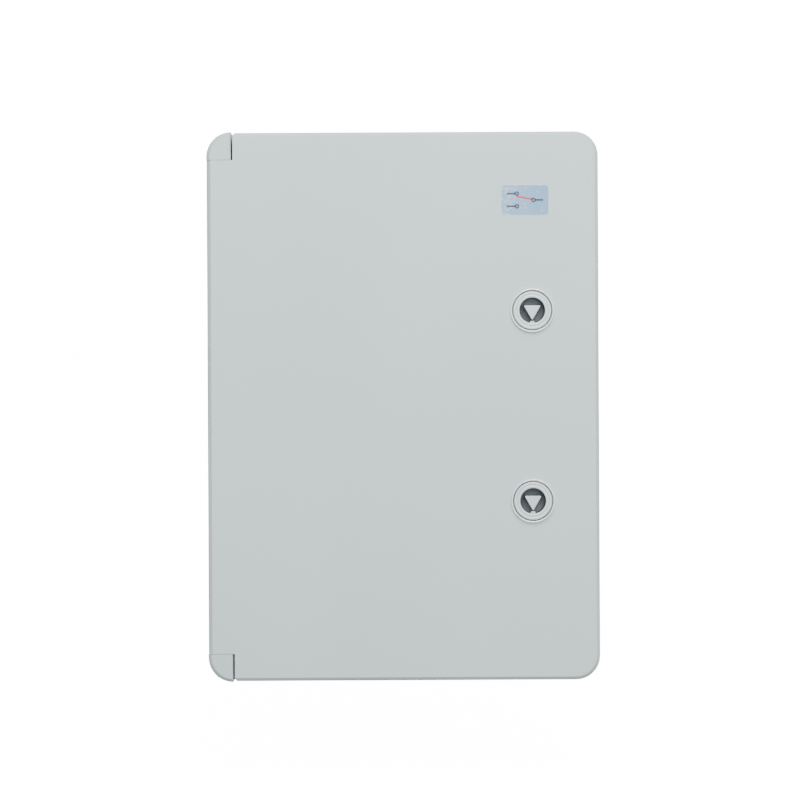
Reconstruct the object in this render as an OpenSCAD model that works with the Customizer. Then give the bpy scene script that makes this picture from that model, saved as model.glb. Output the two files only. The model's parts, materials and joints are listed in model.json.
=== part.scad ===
// Automatic transfer switch in a wall cabinet with a hinged door and two turn locks.
// Inside are two breakers, a control relay, two interlocked contactors and terminals.
// Each module draws on the wall: x right, y up, z out of the wall. facing() then
// stands that drawing upright, so the cabinet's back lies in the plane y = 0.

/* [Cabinet] */
// Width of the cabinet
box_w = 250; // [248:1:256]
// Height of the cabinet
box_h = 350; // [348:1:360]
// Depth of the cabinet, from the wall to the face of the door
box_d = 150; // [150:1:165]
// Radius of the cabinet's four corners
corner_r = 16.2; // [16.1:0.1:16.5]
// Wall thickness of the base
wall = 3.5; // [3:0.25:3.5]
// Step from the flange in to the side walls
body_inset = 1.5; // [1:0.25:2]
// Depth of the door, from its face back to the flange
door_d = 20; // [19.5:0.5:20]
// Distance between the wall holes, across
hole_pitch_x = 186; // [182:2:190]
// Distance between the wall holes, up
hole_pitch_y = 308; // [306:2:310]
// Radius of the wall holes
hole_r = 3.25; // [2.5:0.25:3.5]

/* [Door] */
// Thickness of the door's skin
skin = 3.2; // [3:0.1:3.4]
// Step from the flange's edge in to the door's edge
door_inset = 0.8; // [0.6:0.1:1]
// Gap between the door's skirt and the flange
door_lift = 0.6; // [0.4:0.1:0.8]
// Height of the fixed hinge block at each left corner
block_h = 18.1; // [17:0.1:18.2]
// Distance from the left edge to the slit beside a hinge block
slit_at = 15.9; // [15.5:0.1:15.9]
// Width of that slit
slit_w = 1.2; // [1.1:0.1:1.4]
// Radius of a hinge pin
pin_r = 2; // [1.75:0.25:2]
// Width of the label
label_w = 31; // [28:1:34]
// Height of the label
label_h = 20; // [18:1:22]

/* [Locks] */
// Distance from the middle of the door to the locks
lock_x = 81.8; // [78:0.1:82]
// Height of the locks above and below the middle
lock_y = 60.4; // [56:0.2:64]
// Radius of the lock's bezel
bezel_r = 13.9; // [13.8:0.05:14]
// Radius of the turning face
face_r = 12.6; // [12.5:0.05:12.7]
// Radius of the key recess
recess_r = 8.1; // [7.8:0.1:8.2]
// Side of the triangular key post
post_side = 10.4; // [9:0.1:11]
// Reach of the cam from the lock's axis
cam_reach = 35; // [34:0.5:35]

/* [Switchgear] */
// Width of one breaker pole
pole_w = 17.5; // [17:0.5:17.5]
// Angle that a breaker's toggle turns through
toggle_turn = 64; // [50:1:64]
// Distance between neighbouring poles of a contactor
contact_pitch = 14; // [14:0.5:14.5]
// Distance that a contactor's armature travels
armature_travel = 5; // [4:0.5:5]
// Radius of a power wire
wire_r = 1.6; // [1.2:0.1:1.6]
// Radius of a control wire
thin_wire_r = 0.8; // [0.6:0.1:0.8]

/* [Hidden] */
$fn = 48;

// Cabinet
half_w = box_w / 2;
half_h = box_h / 2;
rim_z = box_d - door_d;
flange_t = 3.5;
flange_z = rim_z - flange_t;
edge_w = 13;
hinge_edge_w = 26.6;
tongue_t = 2;
tongue_h = 11.7;
opening_w = box_w - edge_w - hinge_edge_w;
opening_h = box_h - 2 * edge_w;
opening_x = (hinge_edge_w - edge_w) / 2;

// Hinge
pin_x = -half_w + 8;
pin_z = box_d - 4.5;
pin_l = 32;
pin_sink = 3;
block_inset = 0.2;
block_sink = 1;
barrel_depth = 7.5;
knuckle_h = 20;
bevel_w = 2.3;
bevel_d = 1.5;
edge_break = 0.4;
end_gap = 0.2;
corner_cut = 1.5;
barrel_h = box_h - 2 * block_h - 2 * end_gap;
barrel_clear_r = 8.4;

// Door ribs that hold the gasket
rib_t = 1.5;
rib_h = 7.3;
seal_w = 6;
seal_t = 4.8;

// Mounting plate, rails and ducts
plate_w = 190;
plate_h = 292;
plate_x = 5;
plate_z = 15;
plate_t = 1.5;
plate_front = plate_z + plate_t;
rail_l = 182;
rail_z = plate_front + 7.5;
breaker_y = 102;
contactor_y = -16;
terminal_y = -114;
duct_w = 23;
duct_d = 40;
duct_t = 1.5;
cover_rib = 1.4;
upper_duct_y = 39.5;
lower_duct_y = -72;

// Breakers and relay
breaker_w = 3 * pole_w;
mains_breaker_x = -53.75;
backup_breaker_x = mains_breaker_x + 3.5 * pole_w;
relay_x = 60;
relay_w = 2 * pole_w;
device_h = 86;
shoulder_d = 44;
window_d = 60;
window_h = 45;
entry_z = rail_z + 25.5;
toggle_d = 50;
toggle_hub_r = 7;
knob_x = 8;
knob_y = 6;

// Contactors
contactor_w = 45;
contactor_h = 68;
contactor_split = 42;
contactor_shoulder = 64;
contactor_front = 82;
interlock_w = 10.6;
mains_contactor_x = plate_x - 28;
backup_contactor_x = plate_x + 28;
pull_in = 33.2;
carrier_d = pull_in + 11;
peg_y = 10;
peg_r = 1.2;
rocker_t = 3;
rocker_gap = 0.4;
rocker_angle = armature_travel / peg_y * 90 / PI;
rocker_z = carrier_d + 2 + armature_travel / 2 - peg_r - rocker_gap - rocker_t / 2;
contact_entry = 53;

// Terminals
block_t = 8;
block_pitch = block_t + 0.1;
first_block_x = -57.8;
line_count = 6;
neutral_count = 3;
earth_count = 3;
block_entry = 16;

// Stand the wall drawing upright
module facing() {
    rotate([90, 0, 0]) children();
}

// Mirror the children's copy to the lower half
module both_ends() {
    children();
    mirror([0, 1, 0]) children();
}

module rounded_rect(w, h, r) {
    square([w - 2 * r, h], center = true);
    square([w, h - 2 * r], center = true);
    for (x = [-1, 1], y = [-1, 1])
        translate([x * (w / 2 - r), y * (h / 2 - r)]) circle(r);
}

module rounded_ring(w, h, r, t) {
    difference() {
        rounded_rect(w, h, r);
        rounded_rect(w - 2 * t, h - 2 * t, max(r - t, 1));
    }
}

// Quarter disc that rounds an edge: its square corner is at the origin
module edge_round(r) {
    intersection() {
        circle(r);
        square(r);
    }
}

// Bevelled edge of the door and the hinge blocks: the front is up and the side is right
module front_edge() {
    polygon([[0, 0], [skin, 0], [skin, skin - bevel_d - edge_break],
        [skin - edge_break, skin - bevel_d], [skin - bevel_w, skin], [0, skin]]);
}

// Take a profile round a rectangle. Its x is measured out from the corner centres
module around(w, h, r) {
    for (k = [0:3]) {
        across = k % 2 == 0 ? w : h;
        along = k % 2 == 0 ? h : w;
        rotate(90 * k) translate([across / 2 - r, along / 2 - r, 0]) {
            rotate([90, 0, 0]) linear_extrude(along - 2 * r) children();
            rotate_extrude(angle = 90) children();
        }
    }
}

// Profiles with y up and z out are drawn flat and extruded across
module across(w) {
    translate([-w / 2, 0, 0]) rotate([90, 0, 90]) linear_extrude(w) children();
}

// Round bar along y, from y0 down to y1
module bar_y(r, y0, y1) {
    translate([0, y0, 0]) rotate([90, 0, 0]) cylinder(r = r, h = y0 - y1);
}

module bar_x(r, w) {
    translate([-w / 2, 0, 0]) rotate([0, 90, 0]) cylinder(r = r, h = w);
}

module screw_head(r, h) {
    difference() {
        cylinder(r = r, h = h);
        translate([-2 * r, -0.4, h - 1]) cube([4 * r, 0.8, 2]);
    }
}

module slotted_screw(head_r, head_h, shank_r, shank_h) {
    screw_head(head_r, head_h);
    translate([0, 0, -shank_h]) cylinder(r = shank_r, h = shank_h);
}

module at_pin() {
    translate([pin_x, 0, pin_z]) children();
}

module at_wall_holes() {
    for (x = [-1, 1], y = [-1, 1])
        translate([x * hole_pitch_x / 2, y * hole_pitch_y / 2, 0]) children();
}

module at_plate_screws() {
    for (x = [-1, 1], y = [-1, 1])
        translate([plate_x + x * (plate_w / 2 - 7), y * (plate_h / 2 - 7), 0]) children();
}

module at_rail_screws() {
    for (x = [-1, 1], y = [breaker_y, contactor_y, terminal_y])
        translate([plate_x + x * (rail_l / 2 - 5), y, 0]) children();
}

// Base of the cabinet

module base_profile(r) {
    square([r - wall, wall]);
    translate([r - wall, wall]) mirror([0, 1]) edge_round(wall);
    translate([r - wall, wall]) square([wall, flange_z - wall]);
}

module base_body() {
    w = box_w - 2 * body_inset;
    h = box_h - 2 * body_inset;
    r = corner_r - body_inset;
    around(w, h, r) base_profile(r);
    translate([r - w / 2, r - h / 2, 0]) cube([w - 2 * r, h - 2 * r, wall]);
}

module flange() {
    translate([0, 0, flange_z - 5]) linear_extrude(5)
        rounded_ring(box_w, box_h, corner_r, body_inset + 1);
    translate([0, 0, flange_z]) linear_extrude(flange_t) difference() {
        rounded_rect(box_w, box_h, corner_r);
        translate([opening_x, 0]) rounded_rect(opening_w, opening_h, 4);
    }
    translate([opening_x, 0, rim_z]) linear_extrude(tongue_h)
        rounded_ring(opening_w + 2 * tongue_t, opening_h + 2 * tongue_t, 6, tongue_t);
}

// The outline of the cabinet at the door's depth, with its front edge bevelled
module hinge_block_profile(r, depth) {
    square([r, depth - skin]);
    translate([0, depth - skin]) square([r - skin, skin]);
    translate([r - skin, depth - skin]) front_edge();
}

module hinge_blocks() {
    w = box_w - 2 * block_inset;
    h = box_h - 2 * block_inset;
    r = corner_r - block_inset;
    depth = door_d + block_sink;
    both_ends() difference() {
        translate([0, 0, rim_z - block_sink]) intersection() {
            around(w, h, r) hinge_block_profile(r, depth);
            translate([-half_w, half_h - block_h, 0]) cube([slit_at, block_h, depth]);
        }
        translate([slit_at - half_w, half_h, box_d]) rotate([0, 45, 0])
            cube([1.1, 3 * block_h, 1.1], center = true);
        at_pin() bar_y(pin_r + 0.02, half_h + 1, half_h - block_h - 1);
    }
}

// Wall beside the door's barrel, hollowed so that the barrel can turn past it
module hinge_wall() {
    difference() {
        translate([-half_w, -half_h + block_h, rim_z])
            cube([3, box_h - 2 * block_h, pin_z - rim_z]);
        at_pin() bar_y(barrel_clear_r, half_h, -half_h);
    }
}

module base_shell() color([0.72, 0.74, 0.74]) facing() {
    difference() {
        union() {
            base_body();
            at_wall_holes() cylinder(r = 7, h = wall + 4.5);
            at_plate_screws() cylinder(r = 5, h = plate_z);
        }
        at_wall_holes() translate([0, 0, -1]) cylinder(r = hole_r, h = wall + 7);
        at_plate_screws() translate([0, 0, wall]) cylinder(r = 2, h = plate_z);
    }
    flange();
    hinge_blocks();
    hinge_wall();
}

module hinge_pins() color([0.7, 0.71, 0.73]) facing() {
    both_ends() at_pin() bar_y(pin_r, half_h - pin_sink, half_h - pin_sink - pin_l);
}

// Mounting plate, rails and ducts

module mounting_plate() color([0.75, 0.76, 0.78]) facing() {
    difference() {
        translate([plate_x, 0, plate_z]) linear_extrude(plate_t)
            rounded_rect(plate_w, plate_h, 4);
        at_plate_screws() cylinder(r = 2.25, h = 40);
        at_rail_screws() cylinder(r = 2, h = 40);
    }
}

module plate_screws() color([0.62, 0.63, 0.65]) facing() {
    at_plate_screws() translate([0, 0, plate_front]) slotted_screw(3.8, 2.4, 1.95, 11);
}

module rail_profile() {
    d = rail_z - plate_front;
    polygon([[-17.5, d], [-17.5, d - 1], [-13.5, d - 1], [-13.5, 0], [13.5, 0], [13.5, d - 1],
        [17.5, d - 1], [17.5, d], [12.5, d], [12.5, 1], [-12.5, 1], [-12.5, d]]);
}

module din_rails() color([0.68, 0.7, 0.72]) facing() {
    difference() {
        for (y = [breaker_y, contactor_y, terminal_y])
            translate([plate_x, y, plate_front]) across(rail_l) rail_profile();
        at_rail_screws() cylinder(r = 2.1, h = 40);
    }
}

module rail_screws() color([0.62, 0.63, 0.65]) facing() {
    at_rail_screws() translate([0, 0, plate_front + 1]) slotted_screw(3.6, 2.2, 1.9, 5);
}

// Open channel whose side walls are cut into fingers at the wires' pitches
module duct(top_first, top_pitch, bottom_first, bottom_pitch) {
    slot_w = 4.6;
    right = rail_l / 2 - 3;
    difference() {
        translate([-rail_l / 2, -duct_w / 2, 0]) cube([rail_l, duct_w, duct_d]);
        translate([-rail_l, -duct_w / 2 + duct_t, duct_t])
            cube([2 * rail_l, duct_w - 2 * duct_t, duct_d]);
        for (x = [top_first:top_pitch:right])
            translate([x - slot_w / 2, 0, 7]) cube([slot_w, duct_w, duct_d]);
        for (x = [bottom_first:bottom_pitch:right])
            translate([x - slot_w / 2, -duct_w, 7]) cube([slot_w, duct_w, duct_d]);
    }
}

// First slot to the right of the duct's left end, in step with a wire at x
function first_slot(x, pitch) = x - plate_x - pitch * floor((x - plate_x + rail_l / 2 - 3) / pitch);

module duct_cover() {
    translate([-rail_l / 2, 0, duct_d]) {
        translate([0, -duct_w / 2 - 0.2, 0]) cube([rail_l, duct_w + 0.4, 1.5]);
        for (y = [-duct_w / 2 + duct_t + 0.1, duct_w / 2 - duct_t - 1.3])
            translate([0, y, -cover_rib]) cube([rail_l, 1.2, cover_rib]);
    }
}

module upper_duct() color([0.6, 0.62, 0.64]) facing() {
    translate([plate_x, upper_duct_y, plate_front])
        duct(first_slot(mains_breaker_x, pole_w / 2), pole_w / 2,
            first_slot(mains_contactor_x, contact_pitch / 2), contact_pitch / 2);
}

module upper_duct_cover() color([0.66, 0.68, 0.7]) facing() {
    translate([plate_x, upper_duct_y, plate_front]) duct_cover();
}

module lower_duct() color([0.6, 0.62, 0.64]) facing() {
    translate([plate_x, lower_duct_y, plate_front])
        duct(first_slot(mains_contactor_x, contact_pitch / 2), contact_pitch / 2,
            first_slot(first_block_x, block_pitch), block_pitch);
}

module lower_duct_cover() color([0.66, 0.68, 0.7]) facing() {
    translate([plate_x, lower_duct_y, plate_front]) duct_cover();
}

// Door

module door_profile(r) {
    depth = door_d - door_lift;
    square([r - skin, skin]);
    translate([r - skin, skin]) mirror([0, 1]) front_edge();
    translate([r - skin, skin]) square([skin, depth - skin]);
}

// Skin and skirt, drawn from the front face back
module door_pan() {
    w = box_w - 2 * door_inset;
    h = box_h - 2 * door_inset;
    r = corner_r - door_inset;
    translate([0, 0, box_d]) mirror([0, 0, 1]) {
        around(w, h, r) door_profile(r);
        translate([r - w / 2, r - h / 2, 0]) cube([w - 2 * r, h - 2 * r, skin]);
    }
}

// Space left of the slit that belongs to the hinge blocks and the base
module hinge_clearance() {
    reach = slit_at + slit_w;
    both_ends() translate([-half_w - 1, barrel_h / 2, 0]) cube([reach + 1, block_h + 5, 2 * box_d]);
    both_ends() translate([reach - half_w, half_h - door_inset, box_d]) rotate(45)
        cube([corner_cut * sqrt(2), corner_cut * sqrt(2), 4 * door_d], center = true);
    translate([-half_w - 1, -half_h, 0]) cube([reach + 1, box_h, box_d - barrel_depth]);
}

module barrel() {
    inner = -half_w + slit_at + slit_w;
    both_ends() translate([-half_w + door_inset + skin - 1, barrel_h / 2 - knuckle_h, box_d - barrel_depth])
        cube([inner + half_w - door_inset - skin + 1, knuckle_h, barrel_depth - skin / 2]);
    translate([inner - rib_t, -barrel_h / 2, box_d - barrel_depth])
        cube([rib_t, barrel_h, barrel_depth - skin / 2]);
    for (y = [-90:45:90])
        translate([-half_w + door_inset + skin - 1, y - rib_t / 2, box_d - barrel_depth])
            cube([inner + half_w - door_inset - skin + 1, rib_t, barrel_depth - skin / 2]);
}

// Two closed ribs inside the door with the gasket's channel between them
module gasket_ribs() {
    outer = seal_w + 2 * rib_t;
    translate([opening_x, 0, box_d - skin - rib_h]) linear_extrude(rib_h) {
        rounded_ring(opening_w + tongue_t + outer, opening_h + tongue_t + outer, 7, rib_t);
        rounded_ring(opening_w + tongue_t - seal_w, opening_h + tongue_t - seal_w, 4, rib_t);
    }
}

module at_locks() {
    for (y = [-lock_y, lock_y])
        translate([lock_x, y, box_d]) children();
}

module door_shell() color([0.79, 0.81, 0.81]) facing() {
    difference() {
        union() {
            difference() {
                door_pan();
                hinge_clearance();
            }
            barrel();
        }
        at_pin() bar_y(pin_r + 0.05, half_h, -half_h);
        at_locks() translate([0, 0, -10]) cylinder(r = 11.2, h = 20);
    }
    gasket_ribs();
}

module door_gasket() color([0.12, 0.12, 0.13]) facing() {
    w = opening_w + tongue_t + seal_w;
    h = opening_h + tongue_t + seal_w;
    translate([opening_x, 0, box_d - skin - seal_t]) linear_extrude(seal_t)
        rounded_ring(w - 0.2, h - 0.2, 5.6, seal_w - 0.2);
}

module door_label() color([0.69, 0.75, 0.82]) facing() {
    translate([77.6, 130.5, box_d]) linear_extrude(0.25) rounded_rect(label_w, label_h, 2.6);
}

// Turn locks, drawn with the door's face at z = 0

module lock_housing() {
    difference() {
        union() {
            cylinder(r = bezel_r, h = 1.8);
            translate([0, 0, -22]) cylinder(r = 11, h = 22.5);
        }
        translate([0, 0, 0.6]) cylinder(r = face_r + 0.4, h = 5);
        translate([0, 0, -7.2]) cylinder(r = 9.35, h = 20);
        translate([0, 0, -30]) cylinder(r = 6.05, h = 40);
    }
}

module lock_rotor() {
    difference() {
        union() {
            translate([0, 0, 0.65]) cylinder(r = face_r, h = 0.8);
            translate([0, 0, -7.1]) cylinder(r = 9.3, h = 7.9);
            translate([0, 0, -24]) cylinder(r = 6, h = 18);
            translate([-4, -4, -26.4]) cube([8, 8, 4]);
        }
        translate([0, 0, -5.5]) cylinder(r = recess_r, h = 10);
        translate([0, 0, -30]) cylinder(r = 2.5, h = 16);
    }
    translate([0, 0, -6]) rotate(-90) cylinder(r = post_side / sqrt(3), h = 7.2, $fn = 3);
    translate([-1.6, -recess_r - 0.3, -6]) cube([3.2, 2, 6.6]);
}

// Cam arm pointing up, its free end square to catch the flange
module lock_cam() {
    translate([0, 0, -26.6]) linear_extrude(2.5) difference() {
        union() {
            circle(9);
            translate([-8, 0]) square([16, cam_reach - 3]);
            translate([-6.5, cam_reach - 3]) square([13, 3]);
        }
        square(8.1, center = true);
    }
}

module lock_screw() {
    translate([0, 0, -26.6]) mirror([0, 0, 1]) slotted_screw(6.5, 2.6, 2.45, 10);
}

module at_upper_lock() {
    facing() translate([lock_x, lock_y, box_d]) children();
}

module at_lower_lock() {
    facing() translate([lock_x, -lock_y, box_d]) children();
}

module upper_lock_housing() color([0.8, 0.82, 0.83]) at_upper_lock() lock_housing();
module lower_lock_housing() color([0.8, 0.82, 0.83]) at_lower_lock() lock_housing();
module upper_lock_rotor() color([0.77, 0.79, 0.8]) at_upper_lock() lock_rotor();
module lower_lock_rotor() color([0.77, 0.79, 0.8]) at_lower_lock() lock_rotor();
module upper_lock_cam() color([0.66, 0.67, 0.69]) at_upper_lock() lock_cam();
module lower_lock_cam() color([0.66, 0.67, 0.69]) at_lower_lock() lock_cam();
module upper_lock_screw() color([0.6, 0.61, 0.63]) at_upper_lock() lock_screw();
module lower_lock_screw() color([0.6, 0.61, 0.63]) at_lower_lock() lock_screw();

module lock_seals() color([0.15, 0.15, 0.16]) facing() {
    at_locks() translate([0, 0, -skin - 1]) difference() {
        cylinder(r = 15, h = 1);
        translate([0, 0, -1]) cylinder(r = 11.1, h = 3);
    }
}

module lock_nuts() color([0.7, 0.71, 0.72]) facing() {
    at_locks() translate([0, 0, -skin - 6]) difference() {
        cylinder(r = 15.5, h = 5, $fn = 6);
        translate([0, 0, -1]) cylinder(r = 11.05, h = 7);
    }
}

// Breakers, drawn with the rail's front at z = 0

// Side view of a device that hooks over the rail's upper brim, and the lower one if snap
module device_side(h, shoulder, front, window, snap) {
    back = 0.2;
    lip = [[16.4, -3.6], [16.4, -1.2], [17.8, -1.2], [17.8, back]];
    lower_lip = [[-17.8, back], [-17.8, -1.2], [-16.4, -1.2], [-16.4, -3.6], [-h / 2, -3.6]];
    plain = [[-h / 2, back]];
    polygon(concat([[-h / 2, shoulder], [-window / 2 - 1, shoulder], [-window / 2, front],
        [window / 2, front], [window / 2 + 1, shoulder], [h / 2, shoulder], [h / 2, -3.6]],
        lip, snap ? lower_lip : plain));
}

// Slots and sockets of each pole: a screw shaft from the front and a wire entry at each end
module pole_cuts(pitch, end_y, screw_y, shoulder, entry, entry_w) {
    for (x = [-pitch, 0, pitch]) translate([x, 0, 0]) both_ends() {
        translate([0, screw_y, shoulder - 9]) cylinder(r = 3.2, h = 20);
        translate([-entry_w / 2, end_y - 14, entry - 4.5]) cube([entry_w, 20, 9]);
    }
}

module toggle_cavities() {
    for (x = [-pole_w, 0, pole_w]) translate([x, 0, toggle_d]) {
        bar_x(toggle_hub_r + 0.4, 8.8);
        translate([-4.4, -9.6, 4]) cube([8.8, 19.2, 20]);
    }
}

module clip_guides() {
    for (x = [-1, 1]) translate([0, -20, 0]) rotate([90, 0, 0]) linear_extrude(23)
        polygon([[x * 7.2, 0.4], [x * 7.2, -3.6], [x * 5.6, -3.6], [x * 5.6, -4.6],
            [x * 9.4, -4.6], [x * 9.4, 0.4]]);
}

module breaker_body() {
    difference() {
        across(breaker_w) device_side(device_h, shoulder_d, window_d, window_h, false);
        pole_cuts(pole_w, device_h / 2, 33, shoulder_d, 25.5, 10);
        toggle_cavities();
        for (x = [-pole_w / 2, pole_w / 2])
            translate([x - 0.3, -device_h, window_d - 0.8]) cube([0.6, 2 * device_h, 2]);
    }
    translate([0, 0, toggle_d]) bar_x(1.5, breaker_w - 4);
    clip_guides();
}

// Three levers joined by a tie bar, drawn in the ON position
module breaker_toggle() {
    lever_top = 19.5;
    translate([0, 0, toggle_d]) rotate([-toggle_turn / 2, 0, 0]) difference() {
        union() {
            for (x = [-pole_w, 0, pole_w]) translate([x, 0, 0]) {
                bar_x(toggle_hub_r, 8);
                translate([-4, -2.2, 0]) cube([8, 4.4, lever_top]);
            }
            translate([-pole_w - 4, -2.2, 13.5]) cube([2 * pole_w + 8, 4.4, lever_top - 13.5]);
        }
        bar_x(1.55, breaker_w);
    }
}

// Spring-loaded slide that hooks under the rail's lower brim
module breaker_clip() {
    difference() {
        translate([-7, 0, 0]) rotate([90, 0, 90]) linear_extrude(14)
            polygon([[-46.5, 0], [-17.8, 0], [-17.8, -1.2], [-16.4, -1.2], [-16.4, -3.4],
                [-46.5, -3.4]]);
        translate([-3, -45.7, -5]) cube([6, 1.6, 10]);
    }
}

module at_mains_breaker() {
    facing() translate([mains_breaker_x, breaker_y, rail_z]) children();
}

module at_backup_breaker() {
    facing() translate([backup_breaker_x, breaker_y, rail_z]) children();
}

module at_relay() {
    facing() translate([relay_x, breaker_y, rail_z]) children();
}

module mains_breaker_body() color([0.9, 0.9, 0.88]) at_mains_breaker() breaker_body();
module mains_breaker_toggle() color([0.12, 0.13, 0.15]) at_mains_breaker() breaker_toggle();
module mains_breaker_clip() color([0.2, 0.2, 0.22]) at_mains_breaker() breaker_clip();
module backup_breaker_body() color([0.9, 0.9, 0.88]) at_backup_breaker() breaker_body();
module backup_breaker_toggle() color([0.12, 0.13, 0.15]) at_backup_breaker() breaker_toggle();
module backup_breaker_clip() color([0.2, 0.2, 0.22]) at_backup_breaker() breaker_clip();

module pole_screws(pitch, screw_y, shoulder) {
    for (x = [-pitch, 0, pitch], y = [-screw_y, screw_y])
        translate([x, y, shoulder - 9]) screw_head(2.9, 3);
}

module breaker_screws() color([0.72, 0.72, 0.7]) {
    at_mains_breaker() pole_screws(pole_w, 33, shoulder_d);
    at_backup_breaker() pole_screws(pole_w, 33, shoulder_d);
    at_relay() pole_screws(pole_w / 2, 33, shoulder_d);
}

// Control relay

module relay_body() color([0.33, 0.36, 0.38]) at_relay() difference() {
    across(relay_w) device_side(device_h, shoulder_d, window_d, window_h, true);
    pole_cuts(pole_w / 2, device_h / 2, 33, shoulder_d, 25.5, 5);
    for (x = [-knob_x, knob_x])
        translate([x, knob_y, window_d - 8]) cylinder(r = 3.05, h = 20);
    for (x = [-8, 0, 8])
        translate([x, -13, window_d - 4]) cylinder(r = 1.6, h = 20);
}

module relay_knob() {
    difference() {
        union() {
            translate([0, 0, 0.3]) cylinder(r = 5.6, h = 2.6);
            translate([0, 0, -7]) cylinder(r = 3, h = 8);
        }
        translate([-0.6, -4.6, 1.9]) cube([1.2, 9.2, 2]);
    }
}

module relay_delay_knob() color([0.85, 0.85, 0.82]) at_relay()
    translate([-knob_x, knob_y, window_d]) relay_knob();

module relay_voltage_knob() color([0.85, 0.85, 0.82]) at_relay()
    translate([knob_x, knob_y, window_d]) relay_knob();

module relay_lamps() color([0.2, 0.75, 0.3]) at_relay() {
    for (x = [-8, 0, 8])
        translate([x, -13, window_d - 4]) cylinder(r = 1.5, h = 4.8);
}

// Contactors, drawn with the rail's front at z = 0 and the armature pulled in

module contactor_base() {
    difference() {
        across(contactor_w) device_side(contactor_h, contactor_split, contactor_split, 20, true);
        translate([-18.5, -27, 6]) cube([37, 54, 50]);
        for (x = [-7, 7])
            translate([x - 2.5, 25, 0.8]) cube([5, 20, 9]);
    }
}

module contactor_head() {
    difference() {
        across(contactor_w)
            polygon([[-34, contactor_split + 0.2], [-34, contactor_shoulder],
                [-20, contactor_shoulder], [-19, contactor_front], [19, contactor_front],
                [20, contactor_shoulder], [34, contactor_shoulder], [34, contactor_split + 0.2]]);
        translate([-18.5, -26, contactor_split - 1]) cube([37, 52, 13.5]);
        translate([-4.3, -7.3, 40]) cube([8.6, 14.6, 60]);
        translate([-30, peg_y - 1.6, contactor_split - 1]) cube([60, 3.2, 13.5]);
        translate([-30, -peg_y - 1.6, contactor_split - 1]) cube([60, 3.2, 13.5]);
        pole_cuts(contact_pitch, contactor_h / 2, 27, contactor_shoulder, contact_entry, 7);
    }
}

module contactor_coil() {
    translate([0, 0, 15]) linear_extrude(16) difference() {
        square([34, 30.4], center = true);
        square([14.8, 14.8], center = true);
    }
}

// E-shaped core: a yoke with two outer limbs and a middle one
module e_core(yoke, height) {
    across(14) {
        translate([-24, 0]) square([48, yoke]);
        for (y = [-24, 16])
            translate([y, 0]) square([8, height]);
        translate([-7, 0]) square([14, height]);
    }
}

module contactor_core() {
    translate([0, 0, 6.2]) e_core(8, pull_in - 6.4);
}

module contactor_armature(lift) {
    translate([0, 0, pull_in + 10.8 + lift]) mirror([0, 0, 1]) e_core(5.8, 10.6);
}

// Carrier on the armature. Its stem shows in the head and its peg works the interlock
module contactor_carrier(lift, side) {
    translate([0, 0, carrier_d + lift]) {
        translate([-16, -14, 0]) cube([32, 28, 4]);
        translate([-4, -7, 3]) cube([8, 14, contactor_front - carrier_d - 3]);
        translate([side * 20.5, side * peg_y, 2]) bar_x(peg_r, 11);
    }
}

// Helical spring swept along its own path
module coil_spring(r, thread_r, h, turns) {
    steps = 12;
    sides = 6;
    last = steps * turns;
    ring = [for (i = [0:last], k = [0:sides - 1])
        let (a = 360 * i / steps, b = 360 * k / sides, rr = r + thread_r * cos(b))
        [rr * cos(a), rr * sin(a), h * i / last + thread_r * sin(b)]];
    walls = [for (i = [0:last - 1], k = [0:sides - 1])
        let (n = (k + 1) % sides)
        [i * sides + k, (i + 1) * sides + k, (i + 1) * sides + n, i * sides + n]];
    start = [for (k = [0:sides - 1]) k];
    end = [for (k = [sides - 1:-1:0]) last * sides + k];
    polyhedron(ring, concat([start], walls, [end]));
}

module contactor_springs(lift) {
    z0 = 31.6;
    for (x = [-12, 12])
        translate([x, 0, z0]) coil_spring(3, 0.45, carrier_d + lift - z0 - 0.6, 5);
}

module at_mains_contactor() {
    facing() translate([mains_contactor_x, contactor_y, rail_z]) children();
}

module at_backup_contactor() {
    facing() translate([backup_contactor_x, contactor_y, rail_z]) children();
}

module mains_contactor_base() color([0.23, 0.24, 0.26]) at_mains_contactor() contactor_base();
module mains_contactor_head() color([0.82, 0.82, 0.8]) at_mains_contactor() contactor_head();
module mains_contactor_coil() color([0.72, 0.4, 0.2]) at_mains_contactor() contactor_coil();
module mains_contactor_core() color([0.5, 0.51, 0.53]) at_mains_contactor() contactor_core();
module mains_contactor_carrier() color([0.15, 0.16, 0.18]) at_mains_contactor()
    contactor_carrier(0, 1);
module mains_contactor_armature() color([0.55, 0.56, 0.58]) at_mains_contactor()
    contactor_armature(0);
module mains_contactor_springs() color([0.65, 0.66, 0.68]) at_mains_contactor()
    contactor_springs(0);

module backup_contactor_base() color([0.23, 0.24, 0.26]) at_backup_contactor() contactor_base();
module backup_contactor_head() color([0.82, 0.82, 0.8]) at_backup_contactor() contactor_head();
module backup_contactor_coil() color([0.72, 0.4, 0.2]) at_backup_contactor() contactor_coil();
module backup_contactor_core() color([0.5, 0.51, 0.53]) at_backup_contactor() contactor_core();
module backup_contactor_carrier() color([0.15, 0.16, 0.18]) at_backup_contactor()
    contactor_carrier(armature_travel, -1);
module backup_contactor_armature() color([0.55, 0.56, 0.58]) at_backup_contactor()
    contactor_armature(armature_travel);
module backup_contactor_springs() color([0.65, 0.66, 0.68]) at_backup_contactor()
    contactor_springs(armature_travel);

module contactor_screws() color([0.72, 0.72, 0.7]) {
    at_mains_contactor() pole_screws(contact_pitch, 27, contactor_shoulder);
    at_backup_contactor() pole_screws(contact_pitch, 27, contactor_shoulder);
}

// Mechanical interlock between the contactors

module at_interlock() {
    facing() translate([plate_x, contactor_y, rail_z]) children();
}

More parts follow.
